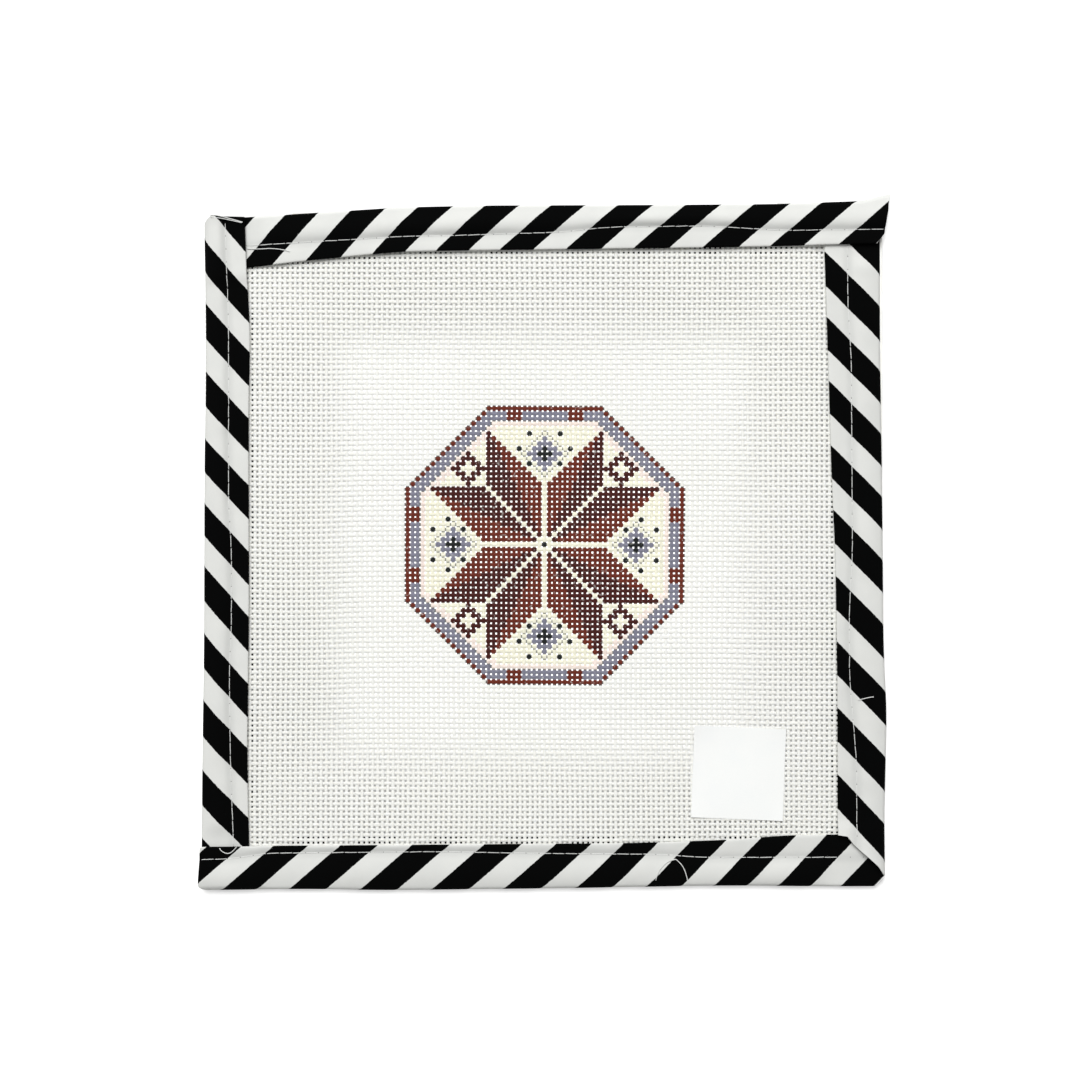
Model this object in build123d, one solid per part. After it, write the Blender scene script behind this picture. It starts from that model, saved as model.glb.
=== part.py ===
from build123d import *
import math
import os

# A square of needlepoint canvas with its raw edge bound in folded cloth tape.
# It lies flat and face up: X to the right, Y to the top edge, Z up from the table.
# Each strip of tape laps over the strip before it, so the corners turn like a pinwheel.

# Canvas: an even grid of single threads, in two layers that lie against each other.
INCH = 25.4
THREADS_PER_INCH = 18
THREAD_WIDTH = 0.85
THREAD_THICKNESS = 0.36
CORNER_TRIM = 5.0

# Bound outline. The top edge drops to the left past a bend, and the bottom edge rises to the right.
BOUND_WIDTH = 190.0
BOUND_HEIGHT = 191.4
TOP_BEND_FROM_LEFT = 55.5
TOP_DROP_AT_BEND = 1.5
TOP_DROP_AT_LEFT = 4.5
BOTTOM_RISE_AT_RIGHT = 1.0

# Binding tape: cloth folded in half round the edge, with both raw edges turned under.
CLOTH_THICKNESS = 0.25
FOLD_GAP = 0.06
CLOTH_CLEARANCE = 0.02
HEM_END_FROM_EDGE = 2.5
BACK_WIDTH = 14.6
LAP_ALLOWANCE = 1.4
RAMP_LENGTH = 3.0
WRAP_SIDES = 6
COVERED_END_CLEARANCE = 0.25

# Each strip's front width, and its seam's distance from the edge, at its lapping end and its covered end.
BOTTOM_FRONT_WIDTHS = (12.2, 14.2)
RIGHT_FRONT_WIDTHS = (13.0, 15.4)
TOP_FRONT_WIDTHS = (12.4, 13.4)
LEFT_FRONT_WIDTHS = (12.6, 12.8)
BOTTOM_SEAM_FROM_EDGE = (10.2, 8.0)
RIGHT_SEAM_FROM_EDGE = (8.4, 8.8)
TOP_SEAM_FROM_EDGE = (6.6, 7.8)
LEFT_SEAM_FROM_EDGE = (7.4, 7.4)

# Where each lapping end is cut: the distance along the strip at its outer edge and at its inner edge.
BOTTOM_END_CUT = (0.0, 0.3)
RIGHT_MITRE_CUT = (3.4, 15.0)
TOP_END_OVERHANG = 1.0
TOP_END_SLANT = 2.9
LEFT_END_CUT = (0.3, 0.8)

# Clipped outer corners: how far each cut reaches along the strip and in from its outer edge.
BOTTOM_START_CLIP = (1.4, 3.0)
BOTTOM_FINISH_CLIP = (3.2, 3.2)
LEFT_START_CLIP = (2.2, 2.0)

# Seam: one lockstitch row a side, pulled flush into the cloth on the face and behind.
SEAM_THREAD_WIDTH = 0.34
SEAM_THREAD_THICKNESS = 0.14
SEAM_BED_CLEARANCE = 0.01
STITCH_LENGTH = 3.6
STITCH_GAP = 0.35
SEAM_START_INSET = 2.4

# Paper label, laid on the canvas at the lower right.
LABEL_SIZE = 25.4
LABEL_THICKNESS = 0.15
LABEL_TURN = -2.3
LABEL_FROM_RIGHT = 40.2
LABEL_FROM_BOTTOM = 32.4

# Loose ends of the sewing thread: points on a strip, each as a distance along it and in from its edge.
TAIL_DIAMETER = 0.34
TAIL_BEND_RADIUS = 1.2
TAIL_SIDES = 6
LEFT_TAIL_ROUTE = [(1.0, 3.2), (0.9, 6.4), (2.1, 11.4)]
BOTTOM_LOOP_ROUTE = [(5.4, 11.6), (7.3, 10.3), (9.3, 11.4)]
RIGHT_TAIL_ROUTE = [(52.0, 6.6), (52.4, 5.0), (52.6, 3.2)]
BOTTOM_LONG_TAIL_ROUTE = [(131.4, 7.8), (132.9, 6.6), (134.0, 4.6), (134.7, 1.8)]
BOTTOM_SHORT_TAIL_ROUTE = [(126.2, 5.0), (125.8, 3.3), (125.5, 1.8)]

# Sizes that follow from those above.
PITCH = INCH / THREADS_PER_INCH
LAYERED_CLOTH = 2 * CLOTH_THICKNESS + FOLD_GAP
FLAT_OPENING = THREAD_THICKNESS + CLOTH_CLEARANCE
LAPPED_OPENING = FLAT_OPENING + LAYERED_CLOTH + CLOTH_CLEARANCE
MIDDLE = LAPPED_OPENING + LAYERED_CLOTH
TOP_END_CUT = (-TOP_END_OVERHANG, TOP_END_SLANT - TOP_END_OVERHANG)


def wrap_depth(opening, half_thickness):
    """How far in from the outer edge the folded tape has room for something of this half thickness."""
    radius = opening + CLOTH_THICKNESS + FOLD_GAP
    flat_radius = radius * math.cos(math.pi / 2 / WRAP_SIDES)
    return radius + CLOTH_THICKNESS - math.sqrt(flat_radius**2 - half_thickness**2)


CANVAS_INSET = wrap_depth(FLAT_OPENING, THREAD_THICKNESS) + CLOTH_CLEARANCE
COVERED_END_INSET = wrap_depth(LAPPED_OPENING, FLAT_OPENING + LAYERED_CLOTH) + COVERED_END_CLEARANCE

LEFT = -BOUND_WIDTH / 2
RIGHT = BOUND_WIDTH / 2 - TOP_END_OVERHANG
TOP = BOUND_HEIGHT / 2
BOTTOM = -BOUND_HEIGHT / 2

BOTTOM_LEFT_CORNER = Vector(LEFT, BOTTOM)
BOTTOM_RIGHT_CORNER = Vector(RIGHT, BOTTOM + BOTTOM_RISE_AT_RIGHT)
TOP_RIGHT_CORNER = Vector(RIGHT, TOP)
TOP_BEND = Vector(LEFT + TOP_BEND_FROM_LEFT, TOP - TOP_DROP_AT_BEND)
TOP_LEFT_CORNER = Vector(LEFT, TOP - TOP_DROP_AT_LEFT)
OUTLINE = [BOTTOM_LEFT_CORNER, BOTTOM_RIGHT_CORNER, TOP_RIGHT_CORNER, TOP_BEND, TOP_LEFT_CORNER]


def inward(heading):
    """The direction across a strip, from its outer edge towards the canvas."""
    return Vector(-heading.Y, heading.X)


def blend(pair, share):
    """A size between the two values of a pair."""
    return pair[0] + (pair[1] - pair[0]) * share


def canvas_outline():
    """The canvas's own corners: the bound outline with its square corners trimmed off."""
    points = []
    for number, corner in enumerate(OUTLINE):
        if corner is TOP_BEND:
            points.append(corner)
            continue
        before = OUTLINE[number - 1]
        after = OUTLINE[(number + 1) % len(OUTLINE)]
        points.append(corner + (before - corner).normalized() * CORNER_TRIM)
        points.append(corner + (after - corner).normalized() * CORNER_TRIM)
    return points


def clip_to_canvas(start, finish, inset):
    """The ends of the stretch of a straight thread that lies inside the canvas, or None."""
    low, high = 0.0, 1.0
    run = finish - start
    corners = canvas_outline()
    for corner, after in zip(corners, corners[1:] + corners[:1]):
        across = inward((after - corner).normalized())
        depth = (start - corner).dot(across) - inset
        gain = run.dot(across)
        if abs(gain) < 1e-9 and depth < 0:
            return None
        if gain > 1e-9:
            low = max(low, -depth / gain)
        if gain < -1e-9:
            high = min(high, -depth / gain)
    if (high - low) * run.length < PITCH:
        return None
    return start + run * low, start + run * high


def canvas_layer(heading, floor):
    """All the threads of one direction, side by side, lying at the given height."""
    across = inward(heading)
    reach = max(BOUND_WIDTH, BOUND_HEIGHT)
    count = math.ceil(reach / 2 / PITCH)
    inset = CANVAS_INSET + THREAD_WIDTH / 2
    threads = []
    for number in range(-count, count + 1):
        middle = across * (number * PITCH)
        ends = clip_to_canvas(middle - heading * reach, middle + heading * reach, inset)
        if ends is None:
            continue
        centre = (ends[0] + ends[1]) * 0.5
        plane = Plane(origin=(centre.X, centre.Y, floor), x_dir=heading, z_dir=(0, 0, 1))
        length = (ends[1] - ends[0]).length
        bar = Box(length, THREAD_WIDTH, THREAD_THICKNESS, align=(Align.CENTER, Align.CENTER, Align.MIN))
        threads.append(plane * bar)
    return Compound(threads)


class BindingStrip:
    """One side's tape, from its lapping end to its end under the next strip."""

    def __init__(self, corners, front_widths, seam_from_edge, end_cut, lapped_widths, covering_widths):
        self.corners = corners
        self.front_widths = front_widths
        self.seam_from_edge = seam_from_edge
        self.end_cut = end_cut
        self.headings = [(b - a).normalized() for a, b in zip(corners, corners[1:])]
        self.lengths = [(b - a).length for a, b in zip(corners, corners[1:])]
        self.length = sum(self.lengths)
        self.lap_length = max(lapped_widths[1], BACK_WIDTH) + LAP_ALLOWANCE
        self.ramp_end = self.lap_length + RAMP_LENGTH
        self.covered_from = self.length - max(covering_widths[0], BACK_WIDTH) - CLOTH_CLEARANCE
        self.finish = self.length - COVERED_END_INSET

    def bends(self):
        """The distances along the strip at which its outer edge bends."""
        return [sum(self.lengths[: number + 1]) for number in range(len(self.lengths) - 1)]

    def across_at(self, number):
        """The direction across the strip at one of its corners, halfway through any bend."""
        before = self.headings[max(number - 1, 0)]
        after = self.headings[min(number, len(self.headings) - 1)]
        return inward((before + after).normalized())

    def run_at(self, along):
        """The straight run that a distance along the strip falls on, and the share of it passed."""
        for number, length in enumerate(self.lengths[:-1]):
            if along < length:
                return number, along / length
            along -= length
        return len(self.lengths) - 1, along / self.lengths[-1]

    def place(self, along, across):
        """The point at a distance along the outer edge and a distance in from it."""
        number, share = self.run_at(along)
        start = self.corners[number] + self.across_at(number) * across
        finish = self.corners[number + 1] + self.across_at(number + 1) * across
        return start + (finish - start) * share

    def opening(self, along):
        """Half the gap between the folded tape's inner faces at a distance along it."""
        share = (self.ramp_end - along) / RAMP_LENGTH
        return blend((FLAT_OPENING, LAPPED_OPENING), min(max(share, 0.0), 1.0))

    def front_width(self, along):
        """The width of the front leg at a distance along the strip."""
        return blend(self.front_widths, min(max(along / self.length, 0.0), 1.0))

    def folded_face(self, along, offset, groove=0.0):
        """One face of the folded cloth, from the front hem round the canvas to the back hem."""
        opening = self.opening(along)
        front = self.front_width(along)
        seam = blend(self.seam_from_edge, along / self.length)
        fold = (CLOTH_THICKNESS + FOLD_GAP) / 2
        wrap = opening + fold * 2 + CLOTH_THICKNESS / 2
        wrap_centre = wrap + CLOTH_THICKNESS / 2
        front_turn = front - fold - CLOTH_THICKNESS / 2
        back_turn = BACK_WIDTH - fold - CLOTH_THICKNESS / 2
        hem = opening + CLOTH_THICKNESS / 2 + offset
        outer = wrap - offset
        radius = fold - offset
        bed = SEAM_THREAD_WIDTH / 2 + SEAM_BED_CLEARANCE
        front_groove = [
            (seam + bed, outer),
            (seam + bed, outer - groove),
            (seam - bed, outer - groove),
            (seam - bed, outer),
        ]
        angles = [math.pi * step / WRAP_SIDES for step in range(WRAP_SIDES + 1)]
        return [
            (HEM_END_FROM_EDGE, hem),
            (front_turn, hem),
            (front_turn + radius, hem + radius),
            (front_turn, outer),
            *(front_groove if groove else []),
            *[(wrap_centre - outer * math.sin(a), outer * math.cos(a)) for a in angles],
            *([(across, -height) for across, height in reversed(front_groove)] if groove else []),
            (back_turn, -outer),
            (back_turn + radius, -hem - radius),
            (back_turn, -hem),
            (HEM_END_FROM_EDGE, -hem),
        ]

    def section(self, along):
        """The folded tape's cross-section, with a groove on both sides that the seam is pulled into."""
        inside = self.folded_face(along, CLOTH_THICKNESS / 2)
        outside = self.folded_face(along, -CLOTH_THICKNESS / 2, SEAM_THREAD_THICKNESS)
        origin = self.place(along, 0)
        across = (self.place(along, self.front_width(along)) - origin).normalized()
        plane = Plane(
            origin=(origin.X, origin.Y, MIDDLE),
            x_dir=across,
            z_dir=(-across.Y, across.X, 0),
        )
        return plane * make_face(Polyline(*inside, *reversed(outside), close=True))

    def cut_off(self, tape, outer, inner):
        """The tape without what lies past a straight cut between two points on it."""
        start = self.place(*outer)
        line = (self.place(*inner) - start).normalized()
        plane = Plane(origin=(start.X, start.Y, 0), x_dir=line, z_dir=(line.Y, -line.X, 0))
        return split(tape, plane, keep=Keep.TOP)

    def tape(self, start_clip=None, finish_clip=None):
        """The folded tape, cut to its ends."""
        start = min(self.end_cut) - RAMP_LENGTH
        stations = [start, self.lap_length, self.ramp_end, *self.bends(), self.finish]
        tape = loft([self.section(along) for along in stations], ruled=True)
        tape = self.cut_off(tape, (self.end_cut[0], 0), (self.end_cut[1], self.front_widths[0]))
        if start_clip:
            tape = self.cut_off(tape, (self.end_cut[0] + start_clip[0], 0), (self.end_cut[0], start_clip[1]))
        if finish_clip:
            tape = self.cut_off(tape, (self.finish, finish_clip[1]), (self.finish - finish_clip[0], 0))
        return tape

    def seam_point(self, along):
        """The seam's place at a distance along the strip."""
        return self.place(along, blend(self.seam_from_edge, along / self.length))

    def seam_start(self):
        """Where the seam begins, a little in from the cut end."""
        return blend(self.end_cut, self.seam_from_edge[0] / self.front_widths[0]) + SEAM_START_INSET

    def stitch(self, alongs, side):
        """One stitch, flush in its groove, on the face (side 1) or behind (side -1)."""
        start = self.seam_point(alongs[0])
        heading = (self.seam_point(alongs[-1]) - start).normalized()
        sunk, raised = [], []
        for along in alongs:
            reach = (self.seam_point(along) - start).dot(heading)
            surface = self.opening(along) + LAYERED_CLOTH
            sunk.append((reach, side * (surface - SEAM_THREAD_THICKNESS)))
            raised.append((reach, side * surface))
        outline = make_face(Polyline(*sunk, *reversed(raised), close=True))
        plane = Plane(origin=(start.X, start.Y, MIDDLE), x_dir=heading, z_dir=inward(heading) * -1)
        return extrude(plane * outline, SEAM_THREAD_WIDTH / 2, both=True)

    def stitches(self, side):
        """The row of stitches on the face (side 1) or behind (side -1)."""
        first = self.seam_start()
        breaks = [self.lap_length, self.ramp_end, *self.bends()]
        bars = []
        for number in range(int((self.covered_from - first) / STITCH_LENGTH)):
            begin = first + number * STITCH_LENGTH
            finish = begin + STITCH_LENGTH - STITCH_GAP
            alongs = [begin, *[b for b in breaks if begin < b < finish], finish]
            bars.append(self.stitch(alongs, side))
        return Compound(bars)

    def thread_tail(self, route):
        """A loose end of sewing thread, lying on the tape."""
        height = max(self.opening(along) for along, across in route) + LAYERED_CLOTH
        height += MIDDLE + TAIL_DIAMETER / 2 + CLOTH_CLEARANCE
        points = [self.place(*point) for point in route]
        path = FilletPolyline(*[(point.X, point.Y, height) for point in points], radius=TAIL_BEND_RADIUS)
        profile = RegularPolygon(TAIL_DIAMETER / 2, TAIL_SIDES)
        return sweep(Plane(origin=path @ 0, z_dir=path % 0) * profile, path=path)


def paper_label():
    """The square paper label, lying on the canvas."""
    floor = MIDDLE + THREAD_THICKNESS
    place = Pos(RIGHT - LABEL_FROM_RIGHT, BOTTOM + LABEL_FROM_BOTTOM, floor) * Rot(0, 0, LABEL_TURN)
    return place * Box(LABEL_SIZE, LABEL_SIZE, LABEL_THICKNESS, align=(Align.CENTER, Align.CENTER, Align.MIN))


bottom = BindingStrip(
    corners=[BOTTOM_LEFT_CORNER, BOTTOM_RIGHT_CORNER],
    front_widths=BOTTOM_FRONT_WIDTHS,
    seam_from_edge=BOTTOM_SEAM_FROM_EDGE,
    end_cut=BOTTOM_END_CUT,
    lapped_widths=LEFT_FRONT_WIDTHS,
    covering_widths=RIGHT_FRONT_WIDTHS,
)
right = BindingStrip(
    corners=[BOTTOM_RIGHT_CORNER, TOP_RIGHT_CORNER],
    front_widths=RIGHT_FRONT_WIDTHS,
    seam_from_edge=RIGHT_SEAM_FROM_EDGE,
    end_cut=RIGHT_MITRE_CUT,
    lapped_widths=BOTTOM_FRONT_WIDTHS,
    covering_widths=TOP_FRONT_WIDTHS,
)
top = BindingStrip(
    corners=[TOP_RIGHT_CORNER, TOP_BEND, TOP_LEFT_CORNER],
    front_widths=TOP_FRONT_WIDTHS,
    seam_from_edge=TOP_SEAM_FROM_EDGE,
    end_cut=TOP_END_CUT,
    lapped_widths=RIGHT_FRONT_WIDTHS,
    covering_widths=LEFT_FRONT_WIDTHS,
)
left = BindingStrip(
    corners=[TOP_LEFT_CORNER, BOTTOM_LEFT_CORNER],
    front_widths=LEFT_FRONT_WIDTHS,
    seam_from_edge=LEFT_SEAM_FROM_EDGE,
    end_cut=LEFT_END_CUT,
    lapped_widths=TOP_FRONT_WIDTHS,
    covering_widths=BOTTOM_FRONT_WIDTHS,
)

pieces = {
    "canvas_crosswise_threads": canvas_layer(Vector(1, 0), MIDDLE - THREAD_THICKNESS),
    "canvas_lengthwise_threads": canvas_layer(Vector(0, 1), MIDDLE),
    "bottom_binding": bottom.tape(start_clip=BOTTOM_START_CLIP, finish_clip=BOTTOM_FINISH_CLIP),
    "right_binding": right.tape(),
    "top_binding": top.tape(),
    "left_binding": left.tape(start_clip=LEFT_START_CLIP),
    "paper_label": paper_label(),
    "top_left_thread_tail": left.thread_tail(LEFT_TAIL_ROUTE),
    "bottom_left_thread_loop": bottom.thread_tail(BOTTOM_LOOP_ROUTE),
    "right_thread_tail": right.thread_tail(RIGHT_TAIL_ROUTE),
    "bottom_long_thread_tail": bottom.thread_tail(BOTTOM_LONG_TAIL_ROUTE),
    "bottom_short_thread_tail": bottom.thread_tail(BOTTOM_SHORT_TAIL_ROUTE),
}
for name, strip in {"bottom": bottom, "right": right, "top": top, "left": left}.items():
    pieces[f"{name}_needle_thread"] = strip.stitches(1)
    pieces[f"{name}_bobbin_thread"] = strip.stitches(-1)

os.makedirs("parts", exist_ok=True)
for name, shape in pieces.items():
    export_step(shape, f"parts/{name}.step")
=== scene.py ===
"""Dresses the bound needlepoint canvas: its woven mesh, striped tape, seams, loose threads and label.

Everything is in metres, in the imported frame: X to the right, Y to the top edge and Z up from the table.
Along a strip of tape, a place is given by its distance along the outer edge from the strip's lapping end,
and by its distance across, in from that edge.
"""

import logging
import math
from collections.abc import Iterator
from contextlib import contextmanager
from dataclasses import dataclass, field
from enum import Enum

import bpy
import numpy as np
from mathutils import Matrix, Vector


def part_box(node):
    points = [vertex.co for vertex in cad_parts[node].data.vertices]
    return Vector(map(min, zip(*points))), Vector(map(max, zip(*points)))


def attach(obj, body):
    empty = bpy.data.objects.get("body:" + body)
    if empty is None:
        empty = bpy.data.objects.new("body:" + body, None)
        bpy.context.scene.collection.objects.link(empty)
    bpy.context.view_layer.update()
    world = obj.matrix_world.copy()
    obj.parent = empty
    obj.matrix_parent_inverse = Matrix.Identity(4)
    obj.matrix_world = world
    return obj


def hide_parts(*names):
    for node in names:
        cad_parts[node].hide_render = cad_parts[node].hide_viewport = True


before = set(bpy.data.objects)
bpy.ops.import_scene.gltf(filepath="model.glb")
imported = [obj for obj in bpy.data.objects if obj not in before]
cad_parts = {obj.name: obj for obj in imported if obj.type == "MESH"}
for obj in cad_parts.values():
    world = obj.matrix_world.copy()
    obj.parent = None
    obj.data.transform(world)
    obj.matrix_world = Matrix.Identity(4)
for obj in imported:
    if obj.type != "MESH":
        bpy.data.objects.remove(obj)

LOG = logging.getLogger("bound_canvas")

MM = 0.001
BODY = "root"
TABLE_GAP = 0.06 * MM

Colour = tuple[float, float, float]
# A span is the low and the high end of a stretch of values, and what each of them gives.
Span = tuple[float, float, float, float]
Knots = tuple[tuple[float, float], ...]
ThreadEnds = dict[int, tuple[float, float]]
Piece = bpy.types.Object
Socket = bpy.types.NodeSocket


class Slot(Enum):
    """The record's material slots."""

    CANVAS = "canvas"
    BINDING = "binding"
    THREAD = "sewing_thread"
    LABEL = "label"


class Side(Enum):
    """The sides of the bound square, in the order in which their tape was sewn on."""

    BOTTOM = "bottom"
    RIGHT = "right"
    TOP = "top"
    LEFT = "left"


class Lie(Enum):
    """The way a set of canvas threads runs. The value is the axis they run along."""

    CROSSWISE = 0
    LENGTHWISE = 1


class Dye(Enum):
    """The paints of the stitched medallion, as linear colours."""

    BARE = (0.835, 0.835, 0.785)
    CREAM = (0.850, 0.825, 0.660)
    BLUSH = (0.860, 0.735, 0.660)
    RUST = (0.135, 0.021, 0.010)
    MAROON = (0.055, 0.009, 0.007)
    SLATE = (0.205, 0.205, 0.262)
    BLACK = (0.012, 0.014, 0.014)


def smooth_step(share: np.ndarray) -> np.ndarray:
    """Ease a share from 0 to 1.

    Args:
        share: Any numbers; what lies outside 0 to 1 is held at the ends.

    Returns:
        The eased shares.
    """
    held = np.clip(share, 0.0, 1.0)
    return held * held * (3.0 - 2.0 * held)


@dataclass(frozen=True)
class Ripple:
    """A gentle unevenness: a few waves of fixed random lengths, turns and starts."""

    seed: int
    shortest: float
    longest: float
    waves: int = 6

    def at(self, first: np.ndarray, second: np.ndarray | float = 0.0) -> np.ndarray:
        """Read the unevenness.

        Args:
            first: Places along the first direction.
            second: Places along the second direction.

        Returns:
            Numbers mostly between -1 and 1.
        """
        draw = np.random.default_rng(self.seed)
        total = np.zeros(np.broadcast(first, second).shape)
        for _ in range(self.waves):
            length = draw.uniform(self.shortest, self.longest)
            turn = draw.uniform(0.0, math.tau)
            start = draw.uniform(0.0, math.tau)
            run = first * math.cos(turn) + second * math.sin(turn)
            total = total + np.sin(math.tau * run / length + start)
        return total / math.sqrt(self.waves)


@dataclass(frozen=True)
class Tint:
    """A second colour, and how much of it a pattern brings where its value is low and where it is high."""

    colour: Colour
    low: float
    high: float
    at_low: float
    at_high: float


class Nodes:
    """A short way to lay out a material's shader nodes."""

    def __init__(self, name: str) -> None:
        """Start a material that holds a Principled shader.

        Args:
            name: The material's name.
        """
        self.material = bpy.data.materials.new(name)
        self.material.use_nodes = True
        self.tree = self.material.node_tree
        self.shader = self.tree.nodes["Principled BSDF"]

    def add(self, kind: str, settings: dict | None = None, **inputs: object) -> bpy.types.Node:
        """Add a node.

        Args:
            kind: The node's type without its ShaderNode prefix.
            settings: Properties to set on the node.
            inputs: Sockets by name, with _ for a space, each given a value or an output to link.

        Returns:
            The new node.
        """
        node = self.tree.nodes.new(f"ShaderNode{kind}")
        for key, value in (settings or {}).items():
            setattr(node, key, value)
        for key, value in inputs.items():
            self.feed(node.inputs[key.replace("_", " ")], value)
        return node

    def feed(self, socket: Socket, value: object) -> None:
        """Give a socket a value, or link an output to it.

        Args:
            socket: The socket to feed.
            value: A number, a colour, or another node's output.
        """
        if isinstance(value, bpy.types.NodeSocket):
            self.tree.links.new(value, socket)
        else:
            socket.default_value = value

    def math(self, operation: str, *values: object) -> Socket:
        """Add a Math node.

        Args:
            operation: The operation's name.
            values: The numbers or outputs that it takes.

        Returns:
            The result's output.
        """
        node = self.add("Math", {"operation": operation})
        for socket, value in zip(node.inputs, values):
            self.feed(socket, value)
        return node.outputs[0]

    def span(self, value: object, low: float, high: float, at_low: float, at_high: float) -> Socket:
        """Map a range of numbers smoothly to another.

        Args:
            value: The output to map.
            low: Where the range starts.
            high: Where the range ends.
            at_low: The result at the start.
            at_high: The result at the end.

        Returns:
            The mapped output.
        """
        limits = {"From_Min": low, "From_Max": high, "To_Min": at_low, "To_Max": at_high}
        return self.add("MapRange", {"interpolation_type": "SMOOTHSTEP"}, Value=value, **limits).outputs[0]

    def mix(self, share: object, first: object, second: object, blend: str = "MIX") -> Socket:
        """Mix two colours.

        Args:
            share: How much of the second colour, from 0 to 1.
            first: The first colour or output.
            second: The second colour or output.
            blend: The way of mixing.

        Returns:
            The mixed colour's output.
        """
        node = self.add("Mix", {"data_type": "RGBA", "blend_type": blend})
        for number, value in ((0, share), (6, first), (7, second)):
            self.feed(node.inputs[number], value)
        return node.outputs[2]

    def tinted(self, colour: object, pattern: Socket, tint: Tint) -> Socket:
        """Turn a colour towards a tint as a pattern says.

        Args:
            colour: The colour or output.
            pattern: The pattern's output.
            tint: The second colour, and how much of it comes in.

        Returns:
            The tinted colour's output.
        """
        share = self.span(pattern, tint.low, tint.high, tint.at_low, tint.at_high)
        return self.mix(share, colour, rgba(tint.colour))

    def noise(self, vector: Socket, scale: float, detail: float = 2.0) -> Socket:
        """A noise from 0 to 1 over some coordinates, with its scale and how many finer layers it has."""
        return self.add("TexNoise", None, Vector=vector, Scale=scale, Detail=detail).outputs[0]

    def uv(self, name: str) -> Socket:
        """The coordinates of one of the mesh's own maps."""
        return self.add("UVMap", {"uv_map": name}).outputs[0]

    def axes(self, vector: Socket) -> list[Socket]:
        """The X, Y and Z of some coordinates."""
        return list(self.add("SeparateXYZ", None, Vector=vector).outputs)

    def coat(self, colour: Socket, roughness: float, **sockets: object) -> None:
        """Feed the shader.

        Args:
            colour: The base colour's output.
            roughness: The roughness, the same all over.
            sockets: Other sockets by name, with _ for a space, and their values.
        """
        for key, value in {"Base_Color": colour, "Roughness": roughness, **sockets}.items():
            self.feed(self.shader.inputs[key.replace("_", " ")], value)

    def raise_surface(self, height: Socket, distance: float, strength: float) -> None:
        """Bump the surface.

        Args:
            height: The height's output, from 0 to 1.
            distance: How high 1 stands, in metres.
            strength: How much of the bump shows.
        """
        bump = self.add("Bump", None, Height=height, Distance=distance, Strength=strength)
        self.feed(self.shader.inputs["Normal"], bump.outputs[0])


def rgba(colour: Colour) -> tuple[float, float, float, float]:
    """A linear colour with full alpha."""
    return (*colour, 1.0)


@dataclass(frozen=True)
class CanvasFinish:
    """Sized cotton canvas threads, with opaque paint brushed on from the face."""

    fibre_length: float = 2.2
    fibres_round: float = 9.0
    fibre_scale: float = 2.0
    patch_scale: float = 900.0
    cloud_scale: float = 22.0
    shade: Tint = Tint((0.77, 0.765, 0.705), 0.3, 0.75, 0.0, 0.3)
    clouds: Tint = Tint((0.85, 0.845, 0.81), 0.35, 0.7, 0.0, 0.5)
    paint_round_thread: Span = (-0.75, -0.1, 0.12, 1.0)
    thin_paint: Span = (0.26, 0.40, 0.72, 1.0)
    brush_streaks: Span = (0.25, 0.8, 0.80, 1.22)
    pen_line: Span = (0.077, 0.143, 1.0, 0.0)
    ink: Colour = (0.10, 0.11, 0.10)
    ink_cover: float = 0.85
    roughness: float = 0.75
    specular: float = 0.2
    glow_through: float = 0.35
    glow_colour: Colour = (1.0, 0.95, 0.85)
    glow_depth: float = 0.45 * MM
    fibre_height: float = 0.03 * MM
    fibre_relief: float = 0.5

    def material(self) -> bpy.types.Material:
        """Build the canvas's material, from the weave's own map and colours."""
        nodes = Nodes("painted_canvas")
        weave = nodes.uv("weave")
        spot = nodes.math("FRACT", nodes.axes(weave)[0])
        onward = nodes.math("LESS_THAN", spot, 0.5)
        names = ("paint", "paint_onward", "pen")
        here, following, pen = (nodes.add("Attribute", {"attribute_name": name}).outputs for name in names)
        paint = nodes.mix(onward, here["Color"], following["Color"])
        painted = nodes.math("SUBTRACT", following["Alpha"], here["Alpha"])
        painted = nodes.math("MULTIPLY_ADD", painted, onward, here["Alpha"])
        place = nodes.add("TexCoord").outputs
        drawn_out = (1 / self.fibre_length, self.fibres_round, 1.0)
        along_fibres = nodes.add("Mapping", None, Vector=weave, Scale=drawn_out).outputs[0]
        fibres = nodes.noise(along_fibres, self.fibre_scale, 3.0)
        patches = nodes.noise(place["Object"], self.patch_scale)
        cloudy = nodes.noise(place["Object"], self.cloud_scale, 1.0)
        bare = nodes.tinted(rgba(Dye.BARE.value), fibres, self.shade)
        bare = nodes.tinted(bare, cloudy, self.clouds)
        reach = nodes.span(nodes.axes(place["Normal"])[2], *self.paint_round_thread)
        cover = nodes.math("MULTIPLY", painted, reach)
        cover = nodes.math("MULTIPLY", cover, nodes.span(patches, *self.thin_paint))
        brushed = nodes.mix(1.0, paint, nodes.span(fibres, *self.brush_streaks), "MULTIPLY")
        colour = nodes.mix(cover, bare, brushed)
        middle = nodes.math("SUBTRACT", 0.5, nodes.math("ABSOLUTE", nodes.math("SUBTRACT", spot, 0.5)))
        line = nodes.math("MULTIPLY", nodes.span(middle, *self.pen_line), pen["Fac"])
        inked = nodes.math("MULTIPLY", nodes.math("MULTIPLY", line, reach), self.ink_cover)
        nodes.coat(
            nodes.mix(inked, colour, rgba(self.ink)), self.roughness, Specular_IOR_Level=self.specular,
            Subsurface_Weight=self.glow_through, Subsurface_Radius=self.glow_colour,
            Subsurface_Scale=self.glow_depth,
        )
        nodes.raise_surface(fibres, self.fibre_height, self.fibre_relief)
        return nodes.material


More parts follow.
